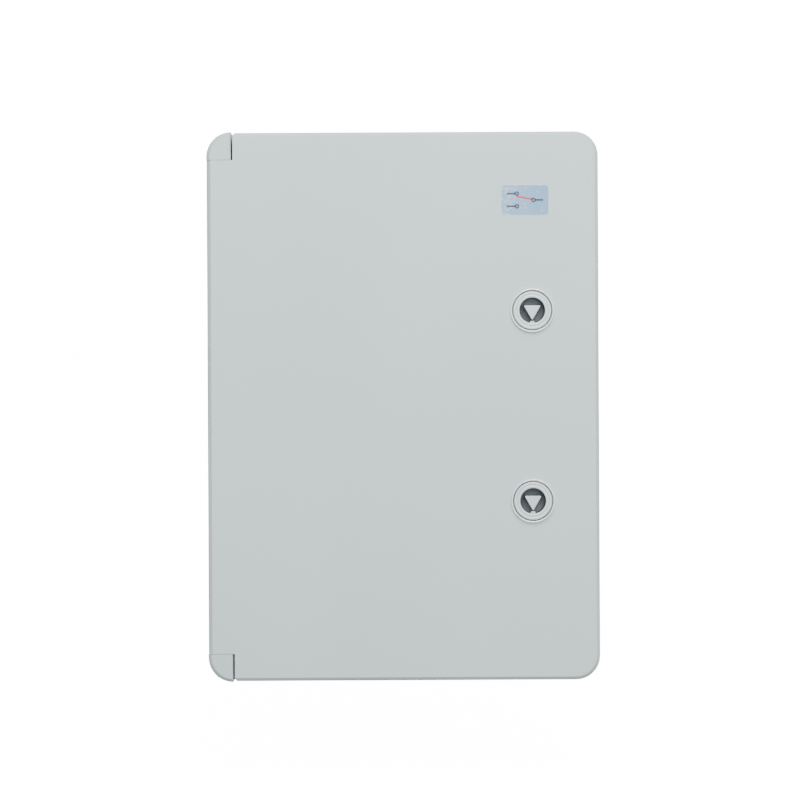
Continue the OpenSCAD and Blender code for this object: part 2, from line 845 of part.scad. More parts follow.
module interlock_body() color([0.26, 0.28, 0.3]) at_interlock() {
    difference() {
        across(interlock_w) device_side(44, 62, 62, 20, true);
        translate([-3.8, -18, 36]) cube([7.6, 36, 40]);
        translate([-10, peg_y - 1.7, 40]) cube([10, 3.4, 16]);
        translate([0, -peg_y - 1.7, 40]) cube([10, 3.4, 16]);
    }
    translate([0, 0, rocker_z]) bar_x(1.5, interlock_w - 2);
}

module interlock_rocker() color([0.85, 0.45, 0.15]) at_interlock()
    translate([0, 0, rocker_z]) rotate([-rocker_angle, 0, 0]) difference() {
        union() {
            translate([-3.2, -13.5, -rocker_t / 2]) cube([6.4, 27, rocker_t]);
            bar_x(3.2, 6.4);
        }
        bar_x(1.55, 10);
    }

// Terminal blocks

module block_side() {
    polygon([[-23, 6], [-23, 26], [-17, 34], [-6, 34], [-4, 38], [4, 38], [6, 34], [17, 34],
        [23, 26], [23, 6], [19.5, -3.6], [16.4, -3.6], [16.4, -1.2], [17.8, -1.2], [17.8, 0.2],
        [-17.8, 0.2], [-17.8, -1.2], [-16.4, -1.2], [-16.4, -3.6], [-19.5, -3.6]]);
}

module terminal_block() {
    difference() {
        across(block_t) block_side();
        both_ends() {
            translate([0, 11.5, 20]) cylinder(r = 2.5, h = 30);
            translate([0, 0, block_entry]) bar_y(2.6, 40, 9);
        }
    }
}

module at_blocks(first, count) {
    for (k = [first:first + count - 1])
        facing() translate([first_block_x + k * block_pitch, terminal_y, rail_z]) children();
}

module line_terminals() color([0.62, 0.63, 0.62]) at_blocks(0, line_count) terminal_block();
module neutral_terminals() color([0.2, 0.38, 0.65])
    at_blocks(line_count, neutral_count) terminal_block();
module earth_terminals() color([0.35, 0.6, 0.25])
    at_blocks(line_count + neutral_count, earth_count) terminal_block();

module terminal_screws() color([0.75, 0.75, 0.72])
    at_blocks(0, line_count + neutral_count + earth_count)
        both_ends() translate([0, 11.5, 20]) screw_head(2.3, 3);

module end_stops() color([0.3, 0.31, 0.33]) {
    for (k = [-1, line_count + neutral_count + earth_count])
        at_blocks(k, 1) difference() {
            across(block_t) block_side();
            translate([0, 0, 26]) cylinder(r = 2.2, h = 20);
        }
}

// Wires: straight legs along the axes, joined by quarter-turn bends

function unit(v) = v / norm(v);

module bend(corner, from, to, r, bend_r) {
    a = -to;
    b = from;
    c = cross(a, b);
    centre = corner - bend_r * from + bend_r * to;
    multmatrix([[a.x, b.x, c.x, centre.x], [a.y, b.y, c.y, centre.y],
        [a.z, b.z, c.z, centre.z], [0, 0, 0, 1]])
        rotate_extrude(angle = 90) translate([bend_r, 0]) circle(r, $fn = 24);
}

module leg(from, to, r) {
    d = unit(to - from);
    side = abs(d.z) > 0.5 ? [1, 0, 0] : [0, 0, 1];
    b = cross(d, side);
    multmatrix([[side.x, b.x, d.x, from.x], [side.y, b.y, d.y, from.y],
        [side.z, b.z, d.z, from.z], [0, 0, 0, 1]])
        cylinder(r = r, h = norm(to - from), $fn = 24);
}

module wire(route, r, bend_r) {
    last = len(route) - 1;
    for (i = [0:last - 1]) {
        d = unit(route[i + 1] - route[i]);
        from = route[i] + (i == 0 ? 0 : bend_r) * d;
        to = route[i + 1] - (i == last - 1 ? 0 : bend_r) * d;
        leg(from, to, r);
        if (i > 0)
            bend(route[i], unit(route[i] - route[i - 1]), d, r, bend_r);
    }
}

// From a breaker's lower entry through the upper duct into a contactor's top
module supply_wires(breaker_x, contactor_x, lane_y) {
    contactor_top = contactor_y + contactor_h / 2;
    front = rail_z + contact_entry;
    for (k = [0:2]) {
        from_x = breaker_x + (k - 1) * pole_w;
        to_x = contactor_x + (k - 1) * contact_pitch;
        lane_z = 36 + 4 * k;
        wire([[from_x, 68, entry_z], [from_x, lane_y, entry_z], [from_x, lane_y, lane_z],
            [to_x, lane_y, lane_z], [to_x, contactor_top + 5, lane_z],
            [to_x, contactor_top + 5, front], [to_x, contactor_top - 9, front]], wire_r, 2.4);
    }
}

// From a contactor's bottom through the lower duct into the line terminals
module load_wires(contactor_x, first_block, lane_y) {
    contactor_bottom = contactor_y - contactor_h / 2;
    front = rail_z + contact_entry;
    exit_z = rail_z + block_entry;
    for (k = [0:2]) {
        from_x = contactor_x + (k - 1) * contact_pitch;
        to_x = first_block_x + (first_block + k) * block_pitch;
        lane_z = 53 - 4 * k;
        wire([[from_x, contactor_bottom + 9, front], [from_x, contactor_bottom - 5, front],
            [from_x, contactor_bottom - 5, lane_z], [from_x, lane_y, lane_z],
            [to_x, lane_y, lane_z], [to_x, lane_y, exit_z], [to_x, -100, exit_z]], wire_r, 2.4);
    }
}

module power_wires() color([0.1, 0.1, 0.11]) facing() {
    supply_wires(mains_breaker_x, mains_contactor_x, 33.5);
    supply_wires(backup_breaker_x, backup_contactor_x, 43.5);
    load_wires(mains_contactor_x, 0, -66);
    load_wires(backup_contactor_x, 3, -77);
}

// From the relay through the upper duct to the coils, and a link between the coils
module control_wires() color([0.65, 0.12, 0.1]) facing() {
    coil_end = 12;
    for (w = [[relay_x + pole_w / 2, 31.8, 26, mains_contactor_x - 7],
            [relay_x, 47.2, 30.4, backup_contactor_x - 7],
            [relay_x - pole_w / 2, 47.2, 32.6, backup_contactor_x + 6]])
        wire([[w[0], 66, entry_z], [w[0], w[1], entry_z], [w[0], w[1], w[2]],
            [w[3], w[1], w[2]], [w[3], coil_end, w[2]]], thin_wire_r, 1.5);
    wire([[mains_contactor_x + 7, coil_end, 28.2], [mains_contactor_x + 7, 35, 28.2],
        [backup_contactor_x + 8, 35, 28.2], [backup_contactor_x + 8, coil_end, 28.2]],
        thin_wire_r, 1.5);
}

// From an earth terminal to a stud on the mounting plate
module earth_wire() color([0.45, 0.65, 0.15]) facing() {
    x = first_block_x + (line_count + neutral_count + 1) * block_pitch;
    exit_z = rail_z + block_entry;
    wire([[x, -128, exit_z], [x, -141.5, exit_z], [x + 36, -141.5, exit_z],
        [x + 36, -141.5, plate_front + 4]], wire_r, 3);
    translate([x + 36, -141.5, plate_front]) cylinder(r = 3, h = 5);
}

base_shell();
hinge_pins();
mounting_plate();
plate_screws();
din_rails();
rail_screws();
upper_duct();
upper_duct_cover();
lower_duct();
lower_duct_cover();
door_shell();
door_gasket();
door_label();
upper_lock_housing();
lower_lock_housing();
lock_nuts();
lock_seals();
upper_lock_rotor();
upper_lock_cam();
upper_lock_screw();
lower_lock_rotor();
lower_lock_cam();
lower_lock_screw();
mains_breaker_body();
mains_breaker_toggle();
mains_breaker_clip();
backup_breaker_body();
backup_breaker_toggle();
backup_breaker_clip();
breaker_screws();
relay_body();
relay_delay_knob();
relay_voltage_knob();
relay_lamps();
mains_contactor_base();
mains_contactor_head();
mains_contactor_coil();
mains_contactor_core();
mains_contactor_carrier();
mains_contactor_armature();
mains_contactor_springs();
backup_contactor_base();
backup_contactor_head();
backup_contactor_coil();
backup_contactor_core();
backup_contactor_carrier();
backup_contactor_armature();
backup_contactor_springs();
contactor_screws();
interlock_body();
interlock_rocker();
line_terminals();
neutral_terminals();
earth_terminals();
terminal_screws();
end_stops();
power_wires();
control_wires();
earth_wire();
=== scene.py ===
"""Finishes and fine parts for an automatic transfer switch in a wall cabinet."""

import json
import math

import bmesh
import bpy
from bpy.props import FloatProperty, FloatVectorProperty, IntProperty, PointerProperty
from mathutils import Matrix, Vector


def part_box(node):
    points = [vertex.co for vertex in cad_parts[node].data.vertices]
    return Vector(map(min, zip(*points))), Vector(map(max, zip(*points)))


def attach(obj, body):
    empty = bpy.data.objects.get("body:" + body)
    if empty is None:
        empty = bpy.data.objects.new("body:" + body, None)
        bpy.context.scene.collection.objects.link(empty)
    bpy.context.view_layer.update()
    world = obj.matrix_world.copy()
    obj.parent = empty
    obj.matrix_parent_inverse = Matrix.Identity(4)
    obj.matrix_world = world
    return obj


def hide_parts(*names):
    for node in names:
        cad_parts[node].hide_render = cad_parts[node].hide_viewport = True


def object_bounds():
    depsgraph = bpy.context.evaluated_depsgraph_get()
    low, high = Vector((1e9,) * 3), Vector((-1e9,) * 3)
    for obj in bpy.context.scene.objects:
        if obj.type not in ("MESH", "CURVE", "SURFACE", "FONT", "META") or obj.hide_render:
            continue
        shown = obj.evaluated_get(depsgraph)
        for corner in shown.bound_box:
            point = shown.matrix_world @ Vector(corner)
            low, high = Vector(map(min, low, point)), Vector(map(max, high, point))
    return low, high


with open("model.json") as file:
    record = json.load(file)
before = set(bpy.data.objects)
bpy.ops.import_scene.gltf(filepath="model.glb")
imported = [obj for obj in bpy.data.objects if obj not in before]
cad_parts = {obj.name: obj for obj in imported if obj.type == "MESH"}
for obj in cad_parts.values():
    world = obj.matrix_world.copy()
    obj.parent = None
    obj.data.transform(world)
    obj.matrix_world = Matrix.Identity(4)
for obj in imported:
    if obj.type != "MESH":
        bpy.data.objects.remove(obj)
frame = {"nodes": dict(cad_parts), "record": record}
CAD_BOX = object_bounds()

bl_info = {
    "name": "Transfer switch cabinet",
    "version": (1, 0, 0),
    "blender": (4, 5, 0),
    "location": "3D View > Sidebar > Switch",
    "description": "Builds the finished look of a transfer switch round its packed parts",
    "category": "Object",
}

MM = 0.001
ORIGIN = Vector((0, 0, 0))
MERGE_DISTANCE = 1e-6            # metres
FLAT_WITHIN = math.radians(0.8)  # faces that meet flatter than this are joined up
SHARP_EDGE = math.radians(28)    # edges sharper than this are rounded
SENSOR_WIDTH = 36                # mm
BEZEL_HEIGHT = 0.0018            # metres that the locks stand out from the door
LIT_POINT = Vector((0, -0.07, 0))
BODY_OF = {node: body for body, nodes in frame["record"]["behaviour"]["bodies"].items()
           for node in nodes}
SLOT_OF = {part["node"]: part["material_slot"] for part in frame["record"]["subparts"]}
MATERIALS = {}


# Node trees -----------------------------------------------------------------

class Signal:
    """A number in a node tree that can be used in ordinary sums."""

    def __init__(self, graph, socket):
        self.graph = graph
        self.socket = socket

    def __add__(self, other):
        return self.graph.math("ADD", self, other)

    def __sub__(self, other):
        return self.graph.math("SUBTRACT", self, other)

    def __rsub__(self, other):
        return self.graph.math("SUBTRACT", other, self)

    def __mul__(self, other):
        return self.graph.math("MULTIPLY", self, other)

    def __truediv__(self, other):
        return self.graph.math("DIVIDE", self, other)

    def __gt__(self, other):
        return self.graph.math("GREATER_THAN", self, other)

    def __lt__(self, other):
        return self.graph.math("LESS_THAN", self, other)

    __radd__ = __add__
    __rmul__ = __mul__


class Graph:
    """Writes nodes into one tree, for a material or for geometry."""

    def __init__(self, tree):
        self.tree = tree

    def node(self, kind, settings=None, inputs=None):
        """Make any node: its settings first, then the values or links of its sockets."""
        made = self.tree.nodes.new(kind)
        for key, value in (settings or {}).items():
            if key == "stops":
                set_stops(made.color_ramp, value)
            else:
                setattr(made, key, value)
        for key, value in (inputs or {}).items():
            if isinstance(value, Signal):
                value = value.socket
            if isinstance(value, bpy.types.NodeSocket):
                self.tree.links.new(value, made.inputs[key])
            else:
                made.inputs[key].default_value = value
        return made

    def signal(self, kind, settings=None, inputs=None, out=0):
        return Signal(self, self.node(kind, settings, inputs).outputs[out])

    def math(self, operation, *values):
        settings = {"operation": operation}
        return self.signal("ShaderNodeMath", settings, dict(enumerate(values)))


class Paint(Graph):
    """The shader graph of one material, with the finish's Principled shader at its end."""

    def __init__(self, name, colour, roughness, metallic=0.0, specular=0.5):
        self.material = bpy.data.materials.new(name)
        self.material.use_nodes = True
        super().__init__(self.material.node_tree)
        self.shader = self.tree.nodes["Principled BSDF"]
        self.place = self.node("ShaderNodeTexCoord").outputs["Object"]
        self.set("Base Color", (*colour, 1))
        self.set("Roughness", roughness)
        self.set("Metallic", metallic)
        self.set("Specular IOR Level", specular)

    def set(self, socket, value):
        if isinstance(value, Signal):
            value = value.socket
        if isinstance(value, bpy.types.NodeSocket):
            self.tree.links.new(value, self.shader.inputs[socket])
        else:
            self.shader.inputs[socket].default_value = value

    def noise(self, size, detail=2.0, stretch=(1, 1, 1), sharp=0.5):
        """Noise whose features are about size metres across, longer along a small stretch."""
        turned = self.node("ShaderNodeMapping", None,
                           {"Vector": self.place, "Scale": stretch}).outputs[0]
        inputs = {"Vector": turned, "Scale": 1 / size, "Detail": detail, "Roughness": sharp}
        return self.signal("ShaderNodeTexNoise", None, inputs)

    def cells(self, size, out=0):
        """Cells about size metres across: the distance to each middle, or a colour each."""
        return self.signal("ShaderNodeTexVoronoi", None,
                           {"Vector": self.place, "Scale": 1 / size}, out)

    def axis(self, letter):
        parts = self.node("ShaderNodeSeparateXYZ", None, {"Vector": self.place})
        return Signal(self, parts.outputs[letter])

    def ramp(self, signal, stops):
        return self.signal("ShaderNodeValToRGB", {"stops": stops}, {"Fac": signal})

    def between(self, signal, low, high):
        """0 where the signal is under low, 1 where it is over high."""
        inputs = {"Value": signal, "From Min": low, "From Max": high}
        return self.signal("ShaderNodeMapRange", {"clamp": True}, inputs)

    def mix(self, amount, first, second):
        """Two colours, or links to colours, mixed."""
        first, second = (v if isinstance(v, (Signal, bpy.types.NodeSocket)) else (*v, 1)
                         for v in (first, second))
        return self.signal("ShaderNodeMix", {"data_type": "RGBA"},
                           {0: amount, 6: first, 7: second}, 2)

    def bump(self, height, depth):
        """Raise the surface by up to depth metres where height is 1."""
        made = self.node("ShaderNodeBump", None, {"Height": height, "Distance": depth,
                                                  "Strength": 1.0})
        self.set("Normal", made.outputs[0])


def set_stops(ramp, stops):
    """Colour stops of a ramp, as pairs of place and grey or colour."""
    while len(ramp.elements) > len(stops):
        ramp.elements.remove(ramp.elements[-1])
    while len(ramp.elements) < len(stops):
        ramp.elements.new(1.0)
    for element, (place, colour) in zip(ramp.elements, stops):
        element.position = place
        element.color = (*colour, 1) if isinstance(colour, tuple) else (colour,) * 3 + (1,)


def shade(colour, factor):
    return tuple(min(1.0, c * factor) for c in colour)


# Finishes -------------------------------------------------------------------

def moulded(name, colour, roughness=0.42, grain=0.0006, relief=0.000012, specks=0.0):
    """Moulded plastic: fine spark-eroded grain, faint flow marks and a few dust specks."""
    paint = Paint(name, colour, roughness, specular=0.45)
    flow = paint.noise(0.09, 3.0, (1, 1, 0.35))
    fine = paint.noise(grain, 2.0)
    tone = paint.mix(paint.between(flow, 0.3, 0.7), shade(colour, 0.975), shade(colour, 1.02))
    if specks:
        dust = paint.cells(0.011) < specks
        patchy = paint.noise(0.03, 1.0) > 0.56
        tone = paint.mix(dust * patchy * 0.55, tone.socket, shade(colour, 0.35))
    paint.set("Base Color", tone)
    paint.set("Roughness", fine * 0.10 + flow * 0.08 + (roughness - 0.09))
    paint.bump(fine, relief)
    return paint.material


def zinc(name, colour, roughness=0.34):
    """Zinc plating: small bright crystals and rubbed streaks."""
    paint = Paint(name, colour, roughness, metallic=1.0)
    crystal = paint.cells(0.004, out="Color")
    streak = paint.noise(0.0008, 3.0, (1, 1, 0.06))
    cloud = paint.noise(0.02)
    tone = paint.mix(paint.between(cloud, 0.35, 0.65), shade(colour, 0.86), shade(colour, 1.06))
    paint.set("Base Color", tone)
    paint.set("Roughness", crystal * 0.12 + streak * 0.14 + (roughness - 0.12))
    paint.bump(streak, 0.000006)
    return paint.material


def galvanised(name, colour):
    """Hot-dip galvanised sheet with its frosted spangle."""
    paint = Paint(name, colour, 0.42, metallic=1.0)
    spangle = paint.cells(0.009, out="Color")
    grain = paint.noise(0.0012, 4.0)
    tone = paint.mix(spangle, shade(colour, 0.8), shade(colour, 1.1))
    paint.set("Base Color", tone)
    paint.set("Roughness", spangle * 0.2 + grain * 0.12 + 0.28)
    paint.bump(grain, 0.00001)
    return paint.material


def rubber(name, colour):
    """Foamed sealing strip with open pores."""
    paint = Paint(name, colour, 0.85, specular=0.25)
    pores = paint.cells(0.0009)
    paint.set("Base Color", paint.mix(pores, shade(colour, 0.6), shade(colour, 1.5)))
    paint.bump(pores, 0.00012)
    return paint.material


def satin(name, colour, roughness=0.3, metallic=0.25):
    """Satin plated die casting: even, with a slight orange peel."""
    paint = Paint(name, colour, roughness, metallic)
    peel = paint.noise(0.0009, 2.0)
    cloud = paint.noise(0.006)
    paint.set("Base Color", paint.mix(cloud, shade(colour, 0.95), shade(colour, 1.04)))
    paint.set("Roughness", peel * 0.12 + (roughness - 0.06))
    paint.bump(peel, 0.00001)
    return paint.material


def shade_painted_zinc(name, colour):
    """Die-cast zinc, grainy, with tool marks; its dark colour is painted shade in the lock's
    recess and gap.
    """
    paint = Paint(name, colour, 0.5, metallic=0.55)
    grain = paint.noise(0.0007, 4.0)
    paint.set("Base Color", paint.mix(grain, shade(colour, 0.7), shade(colour, 1.35)))
    paint.set("Roughness", grain * 0.3 + 0.35)
    paint.bump(grain, 0.00005)
    return paint.material


def film(name, colour):
    """Holographic label film: pale blue with rainbow flakes that thin out to the right."""
    low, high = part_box("door_label")
    paint = Paint(name, colour, 0.22, specular=0.6)
    flake = paint.cells(0.0011, out="Color")
    tint = paint.ramp(flake, [(0.2, (0.42, 0.68, 0.66)), (0.5, colour), (0.8, (0.74, 0.58, 0.76))])
    left = 1 - paint.between(paint.axis("X"), low.x, low.x + 0.7 * (high.x - low.x))
    patches = paint.between(paint.noise(0.0028, 2.0), 0.42, 0.56)
    tone = paint.mix(left * patches * 0.8, colour, tint.socket)
    # Near-white dots mixed into the film's colour are painted glints.
    painted_glint = (paint.cells(0.0026) < 0.12) * (paint.noise(0.004) > 0.5)
    paint.set("Base Color", paint.mix(painted_glint * 0.7, tone.socket, (0.9, 0.93, 0.95)))
    paint.set("Roughness", patches * 0.12 + 0.16)
    paint.bump(flake, 0.000008)
    paint.set("Coat Weight", left * 0.3 + 0.2)
    return paint.material


def insulation(name, colour, stripe=None):
    """Wire insulation, with a second colour spiralling round it where there is one."""
    paint = Paint(name, colour, 0.38)
    wave = paint.noise(0.003, 1.0)
    tone = paint.mix(wave, shade(colour, 0.85), shade(colour, 1.15))
    if stripe:
        turn = paint.math("SINE", (paint.axis("X") + paint.axis("Z") * 1.3) * 900.0)
        tone = paint.mix(turn > 0.25, tone.socket, stripe)
    paint.set("Base Color", tone)
    paint.set("Roughness", wave * 0.2 + 0.28)
    paint.bump(wave, 0.00002)
    return paint.material


def laminated(name, colour):
    """Stack of punched iron sheets, seen from their edges."""
    paint = Paint(name, colour, 0.45, metallic=0.9)
    sheets = paint.math("SINE", paint.axis("X") * (2 * math.pi / 0.0007))
    seam = sheets * 0.5 + 0.5
    rust = paint.noise(0.005, 3.0)
    tone = paint.mix(seam, shade(colour, 0.55), shade(colour, 1.1))
    paint.set("Base Color", paint.mix(paint.between(rust, 0.62, 0.75) * 0.5, tone.socket,
                                      (0.22, 0.13, 0.08)))
    paint.bump(seam, 0.00006)
    return paint.material


def taped(name, colour):
    """Winding under clear tape: fine turns of enamelled wire."""
    paint = Paint(name, colour, 0.3)
    turns = paint.math("SINE", paint.axis("Y") * (2 * math.pi / 0.0006)) * 0.5 + 0.5
    cloud = paint.noise(0.006)
    paint.set("Base Color", paint.mix(turns, shade(colour, 0.6), shade(colour, 1.2)))
    paint.set("Roughness", cloud * 0.25 + 0.18)
    paint.bump(turns, 0.00005)
    return paint.material


def lens(name, colour):
    """Tinted signal lens with a soft glow from inside."""
    paint = Paint(name, colour, 0.15)
    core = paint.noise(0.002)
    paint.set("Base Color", paint.mix(core, shade(colour, 0.7), shade(colour, 1.2)))
    paint.set("Emission Color", paint.mix(core, shade(colour, 0.5), colour))
    paint.set("Emission Strength", 0.6)
    return paint.material


def make_finishes(looks):
    """Every finish, under the record's slot names and a few of the fine parts' own."""
    shell = tuple(looks.cabinet.colour)
    door = tuple(looks.cabinet.door_colour)
    case = tuple(looks.gear.case_colour)
    dark = tuple(looks.gear.dark_colour)
    rough = looks.cabinet.roughness
    made = {
        "cabinet": moulded("cabinet_plastic", shell, rough),
        "door": moulded("door_plastic", door, rough, specks=looks.cabinet.specks),
        "gasket": rubber("foam_rubber", (0.012, 0.012, 0.013)),
        "label": film("label_film", tuple(looks.label.film_colour)),
        "ink": moulded("label_ink", tuple(looks.label.ink_colour), 0.35),
        "red_ink": moulded("label_red_ink", tuple(looks.label.lever_colour), 0.35),
        "label_rim": satin("label_rim", (0.60, 0.66, 0.70), 0.3, 0.0),
        "lock_body": satin("lock_bezel_satin", tuple(looks.lock.bezel_colour), 0.28),
        "lock_face": satin("lock_face_satin", tuple(looks.lock.face_colour), 0.34),
        "lock_post": satin("lock_post_satin", tuple(looks.lock.post_colour), 0.34),
        # The lock's dark finish paints the shade in the recess round the key post and in the gap
        # round the face.
        "lock_shade": shade_painted_zinc("painted_lock_shade", tuple(looks.lock.recess_shade_colour)),
        "zinc": zinc("zinc_plating", (0.58, 0.60, 0.62)),
        "galvanised": galvanised("galvanised_sheet", (0.56, 0.58, 0.60)),
        "pin_steel": zinc("ground_steel", (0.60, 0.60, 0.61), 0.22),
        "duct": moulded("duct_plastic", (0.26, 0.28, 0.30), 0.5),
        "duct_cover": moulded("duct_cover_plastic", (0.33, 0.35, 0.37), 0.45),
        "breaker_case": moulded("breaker_thermoset", case, 0.48),
        "toggle": moulded("toggle_plastic", (0.012, 0.014, 0.018), 0.3),
        "clip": moulded("clip_plastic", (0.03, 0.03, 0.035), 0.5),
        "screw": zinc("nickel_screw", (0.66, 0.65, 0.60), 0.28),
        "relay_case": moulded("relay_plastic", (0.075, 0.09, 0.10), 0.5),
        "knob": moulded("knob_plastic", (0.70, 0.70, 0.66), 0.4),
        "lamp": lens("signal_lens", (0.03, 0.62, 0.14)),
        "contactor_base": moulded("contactor_base_thermoset", dark, 0.52),
        "contactor_head": moulded("contactor_head_thermoset", shade(case, 0.9), 0.48),
        "coil": taped("coil_winding", (0.36, 0.10, 0.03)),
        "core": laminated("core_sheets", (0.30, 0.31, 0.33)),
        "carrier": moulded("carrier_plastic", (0.02, 0.022, 0.026), 0.5),
        "spring": zinc("spring_wire", (0.5, 0.51, 0.53), 0.3),
        "interlock_case": moulded("interlock_plastic", (0.045, 0.05, 0.06), 0.5),
        "rocker": moulded("rocker_plastic", (0.70, 0.16, 0.02), 0.4),
        "terminal_grey": moulded("terminal_grey", (0.33, 0.34, 0.33), 0.5),
        "terminal_blue": moulded("terminal_blue", (0.02, 0.09, 0.36), 0.5),
        "terminal_green": moulded("terminal_green", (0.06, 0.25, 0.04), 0.5),
        "marker": moulded("marker_tag", (0.78, 0.78, 0.75), 0.4),
        "end_stop": moulded("end_stop_plastic", (0.06, 0.065, 0.075), 0.55),
        "wire_black": insulation("wire_black", (0.012, 0.012, 0.014)),
        "wire_red": insulation("wire_red", (0.36, 0.012, 0.008)),
        "wire_green": insulation("wire_green_yellow", (0.08, 0.30, 0.03), (0.72, 0.58, 0.03)),
        "on_red": moulded("window_red", (0.50, 0.02, 0.015), 0.3),
    }
    MATERIALS.update(made)


# Meshes ---------------------------------------------------------------------

def added(name, data):
    """A new object with this data, in the scene."""
    made = bpy.data.objects.new(name, data)
    bpy.context.scene.collection.objects.link(made)
    return made


def piece(name, mesh, body, finish, *replaced, slot=None):
    """Put a finished mesh in the scene as a part of a body."""
    made = added(name, mesh)
    for key in (finish if isinstance(finish, tuple) else (finish,)):
        if made.data.materials.get(MATERIALS[key].name) is None:
            made.data.materials.append(MATERIALS[key])
    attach(made, body)
    if replaced:
        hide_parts(*replaced)
    return made


def smooth(mesh, angle=32):
    for face in mesh.polygons:
        face.use_smooth = True
    mesh.set_sharp_from_angle(angle=math.radians(angle))


def plain(bm, name):
    """A bmesh as a new mesh."""
    mesh = bpy.data.meshes.new(name)
    bm.to_mesh(mesh)
    bm.free()
    return mesh


def mesh_from(bm, name):
    """A closed bmesh as a new smooth mesh whose faces look outwards."""
    bmesh.ops.recalc_face_normals(bm, faces=bm.faces)
    mesh = plain(bm, name)
    smooth(mesh)
    return mesh


def baked(holder):
    """The object's mesh with its modifiers applied, which are then removed."""
    graph = bpy.context.evaluated_depsgraph_get()
    mesh = bpy.data.meshes.new_from_object(holder.evaluated_get(graph), depsgraph=graph)
    bpy.data.objects.remove(holder)
    return mesh


def bevelled(mesh, width, steps=2, finish=-1):
    """Round every sharp edge, with its own material number if given."""
    holder = added("holder", mesh)
    bevel = holder.modifiers.new("edges", "BEVEL")
    bevel.width = width
    bevel.segments = steps
    bevel.limit_method = "ANGLE"
    bevel.angle_limit = SHARP_EDGE
    bevel.use_clamp_overlap = True
    bevel.material = finish
    return levelled(baked(holder))


def levelled(mesh):
    """Smooth shading whose large flat faces stay flat right up to their rounded edges."""
    smooth(mesh, 50)
    holder = added("holder", mesh)
    weigh = holder.modifiers.new("weigh", "WEIGHTED_NORMAL")
    weigh.keep_sharp = True
    weigh.weight = 100
    return baked(holder)


def merged(node):
    """The CAD node's mesh as a bmesh whose corners are joined."""
    bm = bmesh.new()
    bm.from_mesh(frame["nodes"][node].data)
    bmesh.ops.remove_doubles(bm, verts=bm.verts, dist=MERGE_DISTANCE)
    return bm


def copy_of(node):
    """A copy of the CAD node's mesh with its flat faces joined up."""
    bm = merged(node)
    bmesh.ops.dissolve_limit(bm, angle_limit=FLAT_WITHIN, verts=bm.verts, edges=bm.edges)
    mesh = plain(bm, node)
    mesh.materials.clear()
    return mesh


def soften(node, width, steps=2):
    """Replace a CAD node by a copy whose edges are rounded, as a moulding's are."""
    mesh = bevelled(copy_of(node), width * MM, steps)
    return piece(node + "_finished", mesh, BODY_OF[node], SLOT_OF[node], node)


def islands(node):
    """Lowest and highest corners of each separate solid of a CAD node, in order along x, z."""
    bm = merged(node)
    bm.verts.ensure_lookup_table()
    seen = set()
    found = []
    for start in bm.verts:
        if start.index in seen:
            continue
        group = [start]
        seen.add(start.index)
        for vert in group:
            for edge in vert.link_edges:
                other = edge.other_vert(vert)
                if other.index not in seen:
                    seen.add(other.index)
                    group.append(other)
        low = Vector([min(v.co[i] for v in group) for i in range(3)])
        high = Vector([max(v.co[i] for v in group) for i in range(3)])
        found.append((low, high))
    bm.free()
    return sorted(found, key=lambda box: (round(box[0].x, 5), round(box[0].z, 5)))


def middle(box):
    return (box[0] + box[1]) / 2


def revolved(name, profile, centre, steps=96, materials=()):
    """Turn a profile of (radius, y) points in mm round the y axis through centre.

    The profile runs from axis to axis, or is a closed loop if no point lies on the axis."""
    on_axis = profile[0][0] == 0
    bm = bmesh.new()
    rings = []
    for radius, y in profile:
        if radius == 0:
            rings.append([bm.verts.new((centre.x, y * MM, centre.z))] * steps)
            continue
        ring = []
        for k in range(steps):
            a = 2 * math.pi * k / steps
            ring.append(bm.verts.new((centre.x + radius * MM * math.cos(a), y * MM,
                                      centre.z + radius * MM * math.sin(a))))
        rings.append(ring)
    pairs = list(zip(rings, rings[1:]))
    if not on_axis:
        pairs.append((rings[-1], rings[0]))
    for index, (first, second) in enumerate(pairs):
        for k in range(steps):
            n = (k + 1) % steps
            corners = [first[k], first[n], second[n], second[k]]
            face = bm.faces.new(list(dict.fromkeys(corners)))
            if materials:
                face.material_index = materials[index]
    return mesh_from(bm, name)


def prism(name, outline, y_back, y_front, round_mm=0.0, steps=2, edge_finish=-1):
    """Extrude an outline of (x, z) points in metres from y_back to y_front, in metres."""
    bm = bmesh.new()
    back = [bm.verts.new((x, y_back, z)) for x, z in outline]
    front = [bm.verts.new((x, y_front, z)) for x, z in outline]
    bm.faces.new(back)
    bm.faces.new(front[::-1])
    for k in range(len(outline)):
        n = (k + 1) % len(outline)
        bm.faces.new([back[k], front[k], front[n], back[n]])
    mesh = mesh_from(bm, name)
    return bevelled(mesh, round_mm * MM, steps, edge_finish) if round_mm else mesh


def rounded_outline(centre_x, centre_z, w, h, r, steps=8):
    """Points round a rectangle with rounded corners."""
    points = []
    for quarter in range(4):
        sx = 1 if quarter in (0, 3) else -1
        sz = 1 if quarter in (0, 1) else -1
        for k in range(steps + 1):
            a = math.pi / 2 * (quarter + k / steps)
            points.append((centre_x + sx * (w / 2 - r) + r * math.cos(a),
                           centre_z + sz * (h / 2 - r) + r * math.sin(a)))
    return points


def joined(name, meshes):
    """Several meshes as one, keeping each face's own material number."""
    bm = bmesh.new()
    for mesh in meshes:
        bm.from_mesh(mesh)
    mesh = plain(bm, name)
    smooth(mesh, 40)
    return mesh


# Geometry trees -------------------------------------------------------------

def new_tree(name, inputs):
    """An empty geometry tree with named inputs: (name, socket type, default)."""
    tree = bpy.data.node_groups.new(name, "GeometryNodeTree")
    face = tree.interface
    face.new_socket("Geometry", in_out="INPUT", socket_type="NodeSocketGeometry")
    for label, kind, default in inputs:
        socket = face.new_socket(label, in_out="INPUT", socket_type=kind)
        if default is not None:
            socket.default_value = default
    face.new_socket("Geometry", in_out="OUTPUT", socket_type="NodeSocketGeometry")
    graph = Graph(tree)
    return graph, graph.node("NodeGroupInput").outputs


